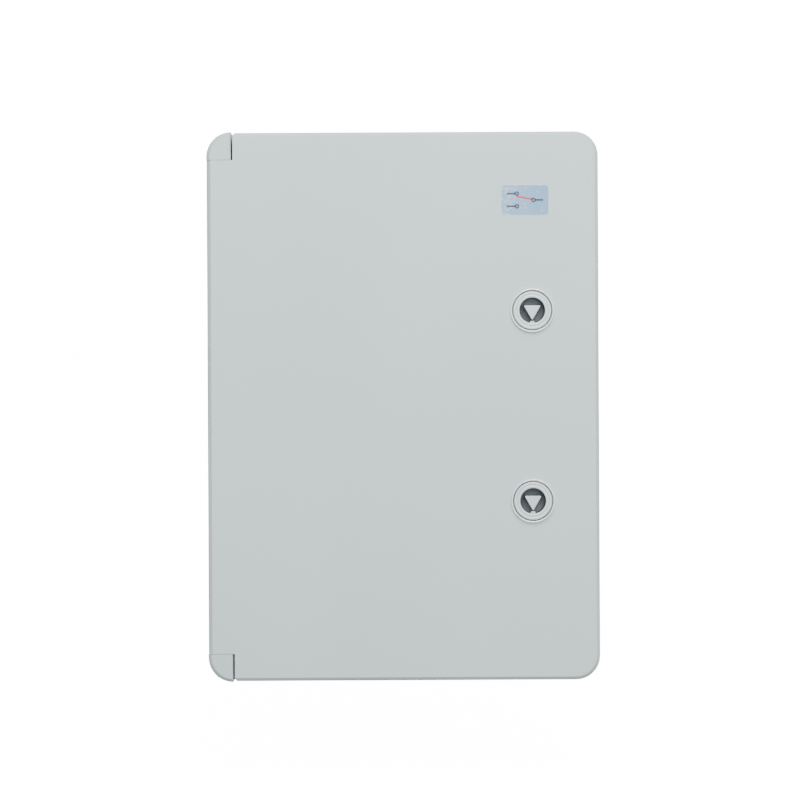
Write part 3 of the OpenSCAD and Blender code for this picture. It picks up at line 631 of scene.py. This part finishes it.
def close_tree(graph, geometry, material):
    """Realise what the tree made, give it its material and send it out."""
    real = graph.node("GeometryNodeRealizeInstances", None, {0: geometry})
    painted = graph.node("GeometryNodeSetMaterial", None,
                         {"Geometry": real.outputs[0], "Material": material})
    graph.node("NodeGroupOutput", None, {0: painted.outputs[0]})
    return graph.tree


def placed(graph, given, points, turn):
    """The tree's Part on every point, turned about y, and the end of the tree."""
    part = graph.node("GeometryNodeObjectInfo", {"transform_space": "ORIGINAL"},
                      {"Object": given["Part"], "As Instance": True})
    turned = graph.node("ShaderNodeCombineXYZ", None, {"Y": turn})
    copies = graph.node("GeometryNodeInstanceOnPoints", None, {
        "Points": points, "Instance": part.outputs["Geometry"],
        "Rotation": turned.outputs[0]})
    return close_tree(graph, copies.outputs[0], given["Material"])


def scatter_tree():
    """Copies of one part on every point, each turned by chance about the y axis."""
    graph, given = new_tree("copies_on_points", [
        ("Part", "NodeSocketObject", None), ("Largest turn", "NodeSocketFloat", 0.0),
        ("Seed", "NodeSocketInt", 3), ("Material", "NodeSocketMaterial", None)])
    chance = graph.node("FunctionNodeRandomValue", {"data_type": "FLOAT"},
                        {2: 0.0, 3: given["Largest turn"], "Seed": given["Seed"]})
    return placed(graph, given, given["Geometry"], chance.outputs[1])


def dial_tree():
    """Marks set round a dial that faces the front, over part of a circle."""
    graph, given = new_tree("marks_round_a_dial", [
        ("Part", "NodeSocketObject", None), ("Count", "NodeSocketInt", 11),
        ("Radius", "NodeSocketFloat", 0.008), ("Sweep", "NodeSocketFloat", math.radians(270)),
        ("Centre", "NodeSocketVector", (0, 0, 0)), ("Material", "NodeSocketMaterial", None)])
    marks = graph.node("GeometryNodeMeshLine", None, {"Count": given["Count"],
                                                      "Offset": (0, 0, 0)})
    index = Signal(graph, graph.node("GeometryNodeInputIndex").outputs[0])
    count = Signal(graph, given["Count"])
    sweep = Signal(graph, given["Sweep"])
    angle = (index / (count - 1) - 0.5) * sweep
    radius = Signal(graph, given["Radius"])
    place = graph.node("ShaderNodeCombineXYZ", None, {
        "X": graph.math("SINE", angle) * radius, "Z": graph.math("COSINE", angle) * radius})
    centred = graph.node("ShaderNodeVectorMath", {"operation": "ADD"},
                         {0: place.outputs[0], 1: given["Centre"]})
    set_out = graph.node("GeometryNodeSetPosition", None, {
        "Geometry": marks.outputs[0], "Position": centred.outputs[0]})
    return placed(graph, given, set_out.outputs[0], angle)


def spring_tree():
    """A round wire wound on a helix along z and turned to stand along y."""
    graph, given = new_tree("wound_spring", [
        ("Turns", "NodeSocketFloat", 5.0), ("Radius", "NodeSocketFloat", 0.003),
        ("Wire radius", "NodeSocketFloat", 0.0004), ("Length", "NodeSocketFloat", 0.012),
        ("Start", "NodeSocketVector", (0, 0, 0)), ("Material", "NodeSocketMaterial", None)])
    helix = graph.node("GeometryNodeCurveSpiral", None, {
        "Resolution": 28, "Rotations": given["Turns"], "Start Radius": given["Radius"],
        "End Radius": given["Radius"], "Height": given["Length"]})
    ring = graph.node("GeometryNodeCurvePrimitiveCircle", {"mode": "RADIUS"},
                      {"Resolution": 10, "Radius": given["Wire radius"]})
    wire = graph.node("GeometryNodeCurveToMesh", None, {
        "Curve": helix.outputs[0], "Profile Curve": ring.outputs[0], "Fill Caps": True})
    laid = graph.node("GeometryNodeTransform", None, {
        "Geometry": wire.outputs[0], "Translation": given["Start"],
        "Rotation": (math.radians(90), 0, 0)})
    return close_tree(graph, laid.outputs[0], given["Material"])


def grow(name, tree, start, values):
    """Run a geometry tree on a start mesh and give the result as a plain mesh."""
    holder = added(name, start)
    modifier = holder.modifiers.new("grow", "NODES")
    modifier.node_group = tree
    for item in tree.interface.items_tree:
        if item.in_out == "INPUT" and item.name in values:
            modifier[item.identifier] = values[item.name]
    mesh = baked(holder)
    smooth(mesh, 40)
    return mesh


def points_mesh(name, points):
    mesh = bpy.data.meshes.new(name)
    mesh.from_pydata([tuple(p) for p in points], [], [])
    return mesh


def copies(name, part, points, finish, turn=0.0, seed=3):
    """One mesh holding a copy of part, drawn about the origin, on every point."""
    holder = bpy.data.objects.new(name + "_part", part)
    mesh = grow(name, bpy.data.node_groups["copies_on_points"], points_mesh(name, points), {
        "Part": holder, "Largest turn": turn, "Seed": seed, "Material": MATERIALS[finish]})
    bpy.data.objects.remove(holder)
    return mesh


def screw_head(radius, height):
    """A terminal screw's head about the origin: its back at y = 0, its face at -height."""
    r, h = radius, height
    profile = [(0, 0), (r, 0), (r, -h + 0.35), (r - 0.12, -h + 0.12), (r - 0.4, -h), (0, -h)]
    head = revolved("head", profile, ORIGIN, 32)
    arm = 0.62 * r
    t = 0.09 * r + 0.12
    outline = [(-arm, -t), (-arm, t), (-t, t), (-t, arm), (t, arm), (t, t), (arm, t), (arm, -t),
               (t, -t), (t, -arm), (-t, -arm), (-t, -t)]
    floor, above = 0.9 - h, -0.5 - h
    cutter = prism("cutter", [(x * MM, z * MM) for x, z in outline], floor * MM, above * MM)
    return cut(head, cutter)


def cut(mesh, cutter_mesh):
    """mesh minus cutter_mesh."""
    holder = added("holder", mesh)
    cutter = added("cutter", cutter_mesh)
    tool = holder.modifiers.new("cut", "BOOLEAN")
    tool.operation = "DIFFERENCE"
    tool.solver = "EXACT"
    tool.object = cutter
    result = baked(holder)
    bpy.data.objects.remove(cutter)
    smooth(result, 35)
    return result


# Settings -------------------------------------------------------------------

LENGTH = {"subtype": "DISTANCE", "unit": "LENGTH"}


def setting(name, description, default, **limits):
    return FloatProperty(name=name, description=description, default=default, **limits)


def colour_setting(name, description, default):
    return FloatVectorProperty(name=name, description=description, default=default,
                               subtype="COLOR", size=3, min=0.0, max=1.0)


class CabinetLooks(bpy.types.PropertyGroup):
    colour: colour_setting("Base", "Plastic of the cabinet's base", (0.515, 0.62, 0.618))
    door_colour: colour_setting("Door", "Plastic of the door", (0.535, 0.65, 0.648))
    roughness: setting("Roughness", "Gloss of the mouldings", 0.46, min=0.1, max=0.9,
                       subtype="FACTOR")
    specks: setting("Specks", "Size of dust specks in a cell", 0.035, min=0.0, max=0.1)
    edge: setting("Edge round", "Radius on the mouldings' edges, in mm", 0.35, min=0.05,
                  max=0.6)


class LabelLooks(bpy.types.PropertyGroup):
    film_colour: colour_setting("Film", "Main colour of the label", (0.12, 0.31, 0.53))
    ink_colour: colour_setting("Ink", "Colour of the printed sign", (0.012, 0.02, 0.05))
    lever_colour: colour_setting("Lever", "Colour of the sign's lever", (0.62, 0.01, 0.03))
    line: setting("Line", "Width of the sign's lines", 0.0011, min=0.0003, max=0.002, **LENGTH)


class LockLooks(bpy.types.PropertyGroup):
    bezel_colour: colour_setting("Bezel", "Raised rim of the lock", (0.88, 0.91, 0.92))
    face_colour: colour_setting("Face", "Turning face of the lock", (0.55, 0.64, 0.67))
    post_colour: colour_setting("Post", "Triangular key post", (0.47, 0.53, 0.56))
    # Dark colour that paints the shade in the recess round the post and in the gap round the face.
    recess_shade_colour: colour_setting("Recess", "Casting round the post", (0.11, 0.122, 0.13))


class GearLooks(bpy.types.PropertyGroup):
    case_colour: colour_setting("Case", "Breakers and contactor heads", (0.72, 0.72, 0.69))
    dark_colour: colour_setting("Dark case", "Contactor bases", (0.035, 0.037, 0.042))
    edge: setting("Edge round", "Radius on the devices' edges, in mm", 0.3, min=0.05, max=0.5)
    seed: IntProperty(name="Seed", description="Chance in how the screws are turned", default=3)


class StageLooks(bpy.types.PropertyGroup):
    lens: setting("Lens", "Focal length", 100.0, min=20.0, max=300.0, unit="CAMERA")
    width: setting("Framed width", "Width framed at the door's face", 0.5075, min=0.2,
                   max=2.0, **LENGTH)
    aim_x: setting("Aim across", "Point aimed at, right of the middle", -0.0023, **LENGTH)
    aim_z: setting("Aim up", "Point aimed at, above the middle", 0.0040, **LENGTH)
    roll: setting("Roll", "Lean of the camera", math.radians(-0.28), subtype="ANGLE",
                  unit="ROTATION")
    key: setting("Key light", "Power of the overhead softbox", 24.0, min=0.0, unit="POWER")
    fill: setting("Fill light", "Power of the front softbox", 52.0, min=0.0, unit="POWER")
    rear: setting("Rear light", "Power of the softbox behind", 22.0, min=0.0, unit="POWER")
    room: setting("Room light", "Strength of the room's even light", 0.3, min=0.0)
    paper: setting("Paper", "Brightness of the backdrop", 15.0, min=0.0)


class SwitchLooks(bpy.types.PropertyGroup):
    cabinet: PointerProperty(type=CabinetLooks)
    label: PointerProperty(type=LabelLooks)
    lock: PointerProperty(type=LockLooks)
    gear: PointerProperty(type=GearLooks)
    stage: PointerProperty(type=StageLooks)


# Operators ------------------------------------------------------------------

class Maker(bpy.types.Operator):
    """Common ground of the operators: each fills in make(looks)"""
    bl_idname = "switchbox.maker"
    bl_label = "Maker"

    def execute(self, context):
        self.make(context.scene.switch_looks)
        return {"FINISHED"}


class SWITCHBOX_OT_finishes(Maker):
    """Make the finishes and the geometry trees that the parts share"""
    bl_idname = "switchbox.finishes"
    bl_label = "Finishes"

    def make(self, looks):
        make_finishes(looks)
        scatter_tree()
        dial_tree()
        spring_tree()


class SWITCHBOX_OT_cabinet(Maker):
    """Finish the base of the cabinet and its hinge pins"""
    bl_idname = "switchbox.cabinet"
    bl_label = "Cabinet base"

    def make(self, looks):
        soften("base_shell", looks.cabinet.edge, 3)
        soften("hinge_pins", 0.3)


class SWITCHBOX_OT_door(Maker):
    """Finish the door and its gasket"""
    bl_idname = "switchbox.door"
    bl_label = "Door"

    def make(self, looks):
        soften("door_shell", looks.cabinet.edge, 3)
        soften("door_gasket", 1.2, 4)


def sign_parts(centre, line):
    """A changeover contact: two sources on the left, one load on the right."""
    parts = []
    y = centre.y

    def bar(x0, z0, x1, z1):
        start = Vector((x0, z0)) * MM
        end = Vector((x1, z1)) * MM
        along = (end - start).normalized() * line / 2
        side = Vector((-along.y, along.x))
        corners = [start - along + side, start - along - side, end + along - side,
                   end + along + side]
        return prism("bar", [(centre.x + c.x, centre.z + c.y) for c in corners], y, y - 0.00005)

    def ring(x, z, r):
        place = Vector((centre.x + x * MM, 0, centre.z + z * MM))
        inner = r - line / MM * 0.9
        profile = [(r, y / MM), (r, y / MM - 0.05), (inner, y / MM - 0.05), (inner, y / MM)]
        return revolved("ring", profile, place, 32)

    parts.append(ring(-5.2, 4.0, 1.5))
    parts.append(ring(-5.2, -4.0, 1.5))
    parts.append(ring(5.4, 0, 1.5))
    parts.append(bar(-11, 4.0, -6.9, 4.0))
    parts.append(bar(-11, -4.0, -6.9, -4.0))
    parts.append(bar(7.1, 0, 11, 0))
    lever = bar(4.0, 0.55, -4.9, 2.2)
    for face in lever.polygons:
        face.material_index = 1
    return parts + [lever]


class SWITCHBOX_OT_label(Maker):
    """Make the label: clear rim, holographic film and a printed changeover sign"""
    bl_idname = "switchbox.label"
    bl_label = "Label"

    def make(self, looks):
        low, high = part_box("door_label")
        centre = middle((low, high))
        w = high.x - low.x
        h = high.z - low.z
        rim = prism("rim", rounded_outline(centre.x, centre.z, w, h, 0.0026), high.y,
                    low.y + 0.00012, 0.05, 1)
        body = prism("film", rounded_outline(centre.x, centre.z, w - 0.0012, h - 0.0012, 0.002),
                     high.y - 0.00005, low.y + 0.00002, 0.05, 1)
        for face in body.polygons:
            face.material_index = 1
        piece("label_film", joined("label_film", [rim, body]), "door", ("label_rim", "label"),
              "door_label", slot="label")
        sign = sign_parts(Vector((centre.x, low.y + 0.00003, centre.z)), looks.label.line)
        piece("label_sign", joined("label_sign", sign), "door", ("ink", "red_ink"),
              slot="label")


def lock_bezel(centre):
    """Rolled rim that stands on a narrow foot, with a pocket for the face and a barrel."""
    rim_r, pocket_r, roll_y, roll_r = 13.9, 12.8, -151.25, 0.55
    profile = [(13.2, -150.0), (13.35, -150.2), (rim_r, -150.75), (rim_r, roll_y)]
    for k in range(1, 9):
        a = math.pi * k / 8
        profile.append((rim_r - roll_r * (1 - math.cos(a)), roll_y - roll_r * math.sin(a)))
    # From here the gap's inner wall and its floor take the second finish, which is painted shade.
    gap_shade_from = len(profile) - 1
    profile += [(pocket_r, -150.6), (9.35, -150.6), (9.35, -142.8), (6.05, -142.8),
                (6.05, -128.0), (10.6, -128.0), (11.0, -128.4), (11.0, -150.0)]
    finish = [1 if gap_shade_from <= k <= gap_shade_from + 1 else 0 for k in range(len(profile))]
    return revolved("bezel", profile, centre, 96, finish)


def lock_turning_face(centre):
    """Face ring, recess and the shaft behind them, closed at both ends; the recess and the face's
    edge in the gap are painted shade.
    """
    profile = [(0, -144.5), (7.6, -144.5), (7.9, -144.8), (8.1, -151.1), (8.3, -151.35),
               (8.55, -151.45), (10.0, -151.45), (10.12, -151.36), (10.24, -151.45),
               (11.7, -151.45), (11.95, -151.35), (12.05, -151.15), (12.05, -150.65),
               (9.3, -150.65), (9.3, -142.9), (6.0, -142.9), (6.0, -126.0), (2.5, -126.0),
               (2.5, -136.0), (0, -136.0)]
    # The recess floor and wall, and the face's edge in the gap, take the second finish: painted
    # shade.
    finish = [1 if k < 3 or k in (11, 12) else 0 for k in range(len(profile))]
    return revolved("face", profile, centre, 96, finish)


def key_post(centre):
    """Triangular post, point down, its corners eased."""
    side, ease = 10.4, 0.35
    reach = side / math.sqrt(3)
    points = []
    for k in range(3):
        a = math.radians(-90 + 120 * k)
        tip = Vector((math.cos(a), math.sin(a)))
        side_way = Vector((-tip.y, tip.x))
        for s in (-1, 1):
            p = tip * (reach - ease * 0.5) + side_way * s * ease * 0.87
            points.append((centre.x + p.x * MM, centre.z + p.y * MM))
    # The post's rounded edges take the second finish, the bright bezel colour, as a painted
    # highlight.
    return prism("post", points, -0.1444, -0.1512, 0.55, 2, 1)


def pointer_tab(centre):
    """Small wedge at six o'clock that joins the face to the post's tip."""
    outline = [(-1.9, -8.2), (-1.1, -6.6), (1.1, -6.6), (1.9, -8.2)]
    return prism("tab", [(centre.x + x * MM, centre.z + z * MM) for x, z in outline],
                 -0.1444, -0.1504, 0.25, 2)


class SWITCHBOX_OT_locks(Maker):
    """Make the two turn locks with their cams, nuts and screws"""
    bl_idname = "switchbox.locks"
    bl_label = "Turn locks"

    def make(self, looks):
        for side in ("upper", "lower"):
            centre = middle(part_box(side + "_lock_housing"))
            body = side + "_lock"
            piece(side + "_lock_bezel", lock_bezel(centre), "door",
                  ("lock_body", "lock_shade"), side + "_lock_housing")
            square = prism("square", [(centre.x + x * 4 * MM, centre.z + z * 4 * MM)
                                      for x, z in ((-1, -1), (1, -1), (1, 1), (-1, 1))],
                           -0.1265, -0.1236, 0.2)
            face = joined("face", [lock_turning_face(centre), square])
            piece(side + "_lock_face", face, body, ("lock_face", "lock_shade"),
                  side + "_lock_rotor")
            post = joined("post", [key_post(centre), pointer_tab(centre)])
            # lock_body on the post's rounded edges is a painted highlight.
            piece(side + "_lock_post", post, body, ("lock_post", "lock_body"),
                  slot="lock_face")
            soften(side + "_lock_cam", 0.25)
            soften(side + "_lock_screw", 0.2)
        soften("lock_nuts", 0.3)
        soften("lock_seals", 0.2)


class SWITCHBOX_OT_plate(Maker):
    """Finish the mounting plate, rails and wiring ducts with their screws"""
    bl_idname = "switchbox.plate"
    bl_label = "Plate, rails and ducts"

    def make(self, looks):
        soften("mounting_plate", 0.2)
        soften("din_rails", 0.25)
        for name in ("upper_duct", "lower_duct", "upper_duct_cover", "lower_duct_cover"):
            soften(name, 0.25, 1)
        for node, radius, height, shank in (("plate_screws", 3.8, 2.4, 11),
                                            ("rail_screws", 3.6, 2.2, 5)):
            screws(node, radius, height, looks.gear.seed, shank)


def screws(node, radius, height, seed, shank=0.0):
    """Replace a CAD node's screws by cross-headed ones, turned by chance."""
    part = screw_head(radius, height)
    if shank:
        crest, root, pitch = 1.9, 1.9 - 0.3, 0.7
        thread = [(0, 0.0), (crest, 0.0)]
        for k in range(int(shank / pitch)):
            thread += [(crest, k * pitch + 0.25), (root, k * pitch + 0.5)]
        thread += [(root, shank), (0, shank)]
        part = joined("screw", [part, revolved("shank", thread, ORIGIN, 20)])
    places = []
    for low, high in islands(node):
        centre = middle((low, high))
        places.append((centre.x, low.y + height * MM, centre.z))
    finish = SLOT_OF[node]
    mesh = copies(node, part, places, finish, math.tau, seed)
    return piece(node + "_finished", mesh, BODY_OF[node], finish, node)


class SWITCHBOX_OT_breakers(Maker):
    """Finish the two breakers, their toggles, clips and terminal screws"""
    bl_idname = "switchbox.breakers"
    bl_label = "Breakers"

    def make(self, looks):
        edge = looks.gear.edge
        for side in ("mains", "backup"):
            soften(side + "_breaker_body", edge)
            soften(side + "_breaker_toggle", 0.5, 3)
            soften(side + "_breaker_clip", 0.3)
            low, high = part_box(side + "_breaker_body")
            breaker_trim(side, low, high)
        screws("breaker_screws", 2.9, 3.0, looks.gear.seed)


def breaker_trim(side, low, high):
    """Marker strip and state windows on a breaker's face."""
    pole_width, strip_up, windows_down = 0.0175, 0.0185, 0.0145
    centre = middle((low, high))
    face = low.y
    strip = prism("strip", rounded_outline(centre.x, centre.z + strip_up, 0.048, 0.0052,
                                           0.0006), face + 0.0003, face - 0.0001, 0.08, 1)
    piece(side + "_breaker_marker", strip, "cabinet", "marker", slot="breaker_case")
    window = prism("window", rounded_outline(0, 0, 0.005, 0.0026, 0.0005, 3), 0.0003, -0.0001,
                   0.08, 1)
    places = [(centre.x + k * pole_width, face, centre.z - windows_down) for k in (-1, 0, 1)]
    mesh = copies("windows", window, places, "on_red")
    piece(side + "_breaker_windows", mesh, "cabinet", "on_red", slot="breaker_case")


class SWITCHBOX_OT_relay(Maker):
    """Finish the control relay, its knobs, dials and lamps"""
    bl_idname = "switchbox.relay"
    bl_label = "Control relay"

    def make(self, looks):
        soften("relay_body", looks.gear.edge)
        soften("relay_lamps", 0.5, 3)
        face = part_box("relay_body")[0].y
        mark = prism("mark", rounded_outline(0, 0, 0.00035, 0.0012, 0.0001, 2), 0.0002, -0.0001)
        for name in ("relay_delay_knob", "relay_voltage_knob"):
            soften(name, 0.3, 2)
            centre = middle(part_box(name))
            holder = bpy.data.objects.new("mark", mark)
            dial = grow(name, bpy.data.node_groups["marks_round_a_dial"], points_mesh("p", []), {
                "Part": holder, "Count": 9, "Radius": 0.0069,
                "Centre": (centre.x, face, centre.z), "Material": MATERIALS["marker"]})
            bpy.data.objects.remove(holder)
            piece(name.replace("_knob", "_dial"), dial, "cabinet", "marker", slot="knob")


class SWITCHBOX_OT_contactors(Maker):
    """Finish the contactors, their moving parts and the interlock between them"""
    bl_idname = "switchbox.contactors"
    bl_label = "Contactors and interlock"

    def make(self, looks):
        edge = looks.gear.edge
        for side in ("mains", "backup"):
            start = side + "_contactor_"
            for name in ("base", "head", "carrier"):
                soften(start + name, edge)
            for name in ("coil", "core", "armature"):
                soften(start + name, 0.2, 1)
            springs(start + "springs")
        screws("contactor_screws", 2.9, 3.0, looks.gear.seed + 1)
        soften("interlock_body", edge)
        soften("interlock_rocker", 0.3)


def springs(node):
    """Replace a pair of CAD springs by wound ones of the same size."""
    coils = []
    wire = 0.00045
    for low, high in islands(node):
        centre = middle((low, high))
        coils.append(grow(node, bpy.data.node_groups["wound_spring"], points_mesh("p", []), {
            "Turns": 5.0, "Radius": (high.x - low.x) / 2 - wire, "Wire radius": wire,
            "Length": high.y - low.y - 2 * wire,
            "Start": (centre.x, high.y - wire, centre.z), "Material": MATERIALS["spring"]}))
    piece(node + "_finished", joined(node, coils), "cabinet", "spring", node)


class SWITCHBOX_OT_terminals(Maker):
    """Finish the terminal blocks, their screws and marker tags"""
    bl_idname = "switchbox.terminals"
    bl_label = "Terminals"

    def make(self, looks):
        edge = looks.gear.edge
        for node in ("line_terminals", "neutral_terminals", "earth_terminals", "end_stops"):
            soften(node, edge)
        screws("terminal_screws", 2.3, 3.0, looks.gear.seed + 2)
        tag = prism("tag", rounded_outline(0, 0, 0.0054, 0.0062, 0.0005, 3), 0.0005, -0.0002,
                    0.15, 2)
        places = []
        for node in ("line_terminals", "neutral_terminals", "earth_terminals"):
            for low, high in islands(node):
                centre = middle((low, high))
                places.append((centre.x, low.y, centre.z))
        piece("terminal_tags", copies("tags", tag, places, "marker"), "cabinet", "marker",
              slot="terminal_grey")


class SWITCHBOX_OT_wires(Maker):
    """Finish the wires"""
    bl_idname = "switchbox.wires"
    bl_label = "Wires"

    def make(self, looks):
        for node in ("power_wires", "control_wires", "earth_wire"):
            mesh = copy_of(node)
            smooth(mesh, 50)
            piece(node + "_finished", mesh, "cabinet", SLOT_OF[node], node)


class SWITCHBOX_OT_stage(Maker):
    """Set up the pale floor, the soft light and the camera"""
    bl_idname = "switchbox.stage"
    bl_label = "Stage"

    def make(self, looks):
        stage = looks.stage
        low = CAD_BOX[0]
        self.backdrop(low, stage.paper)
        distance = stage.lens / SENSOR_WIDTH * stage.width
        face = low[1] + BEZEL_HEIGHT
        camera = added("camera", bpy.data.cameras.new("camera"))
        camera.data.lens = stage.lens
        camera.location = (stage.aim_x, face - distance, stage.aim_z)
        turned = Matrix.Rotation(math.radians(90), 4, "X") @ Matrix.Rotation(stage.roll, 4, "Z")
        camera.rotation_euler = turned.to_euler()
        bpy.context.scene.camera = camera
        self.softbox("key", (0.1, -0.95, 1.1), 1.0, stage.key)
        self.softbox("fill", (0.25, -2.2, 0.5), 1.8, stage.fill)
        self.softbox("rear", (0.3, 1.6, 1.2), 1.6, stage.rear)
        world = bpy.data.worlds.new("room")
        world.use_nodes = True
        room = world.node_tree.nodes["Background"]
        room.inputs["Color"].default_value = (1, 1, 1, 1)
        room.inputs["Strength"].default_value = stage.room
        bpy.context.scene.world = world

    def softbox(self, name, place, size, power):
        light = bpy.data.lights.new(name, "AREA")
        light.shape = "RECTANGLE"
        light.size = size
        light.size_y = size
        light.energy = power
        made = added(name, light)
        made.location = place
        way = LIT_POINT - Vector(place)
        made.rotation_euler = way.to_track_quat("-Z", "Y").to_euler()

    def backdrop(self, low, brightness):
        """Floor that curves up into a wall behind the cabinet, all one sheet."""
        floor = low[2] - 0.06
        back = 0.9
        bend = 0.35
        profile = [(-3.0, floor), (back - bend, floor)]
        for k in range(1, 13):
            a = math.pi / 2 * k / 12
            profile.append((back - bend + bend * math.sin(a), floor + bend - bend * math.cos(a)))
        profile.append((back, 2.4))
        bm = bmesh.new()
        rows = [[bm.verts.new((x, y, z)) for y, z in profile] for x in (-3.0, 3.0)]
        for k in range(len(profile) - 1):
            bm.faces.new([rows[0][k], rows[1][k], rows[1][k + 1], rows[0][k + 1]])
        mesh = plain(bm, "backdrop")
        smooth(mesh)
        made = added("backdrop", mesh)
        paint = Paint("backdrop_paper", (0.92, 0.92, 0.92), 0.9)
        paper = paint.noise(0.4, 2.0)
        paint.set("Base Color", paint.mix(paper, (0.90, 0.90, 0.90), (0.94, 0.94, 0.94)))
        paint.set("Emission Color", (1, 1, 1, 1))
        paint.set("Emission Strength", brightness)
        mesh.materials.append(paint.material)
        made.visible_diffuse = False
        made.visible_glossy = False
        made.visible_shadow = False


class SWITCHBOX_PT_panel(bpy.types.Panel):
    """Sidebar list of the parts that can be built"""
    bl_idname = "SWITCHBOX_PT_panel"
    bl_label = "Transfer switch"
    bl_space_type = "VIEW_3D"
    bl_region_type = "UI"
    bl_category = "Switch"

    def draw(self, context):
        looks = context.scene.switch_looks
        for group in ("cabinet", "label", "lock", "gear", "stage"):
            box = self.layout.box()
            settings = getattr(looks, group)
            box.label(text=group.capitalize())
            for name in settings.__annotations__:
                box.prop(settings, name)
        for step in STEPS:
            self.layout.operator(step.bl_idname)


SETTINGS = (CabinetLooks, LabelLooks, LockLooks, GearLooks, StageLooks, SwitchLooks)
STEPS = (SWITCHBOX_OT_finishes, SWITCHBOX_OT_stage, SWITCHBOX_OT_cabinet, SWITCHBOX_OT_door,
         SWITCHBOX_OT_label, SWITCHBOX_OT_locks, SWITCHBOX_OT_plate, SWITCHBOX_OT_breakers,
         SWITCHBOX_OT_relay, SWITCHBOX_OT_contactors, SWITCHBOX_OT_terminals,
         SWITCHBOX_OT_wires)


def register():
    for kind in (*SETTINGS, *STEPS, SWITCHBOX_PT_panel):
        bpy.utils.register_class(kind)
    bpy.types.Scene.switch_looks = PointerProperty(type=SwitchLooks)


def unregister():
    del bpy.types.Scene.switch_looks
    for kind in reversed((*SETTINGS, *STEPS, SWITCHBOX_PT_panel)):
        bpy.utils.unregister_class(kind)


def main():
    register()
    for step in STEPS:
        group, name = step.bl_idname.split(".")
        getattr(getattr(bpy.ops, group), name)()


if __name__ == "__main__":
    main()
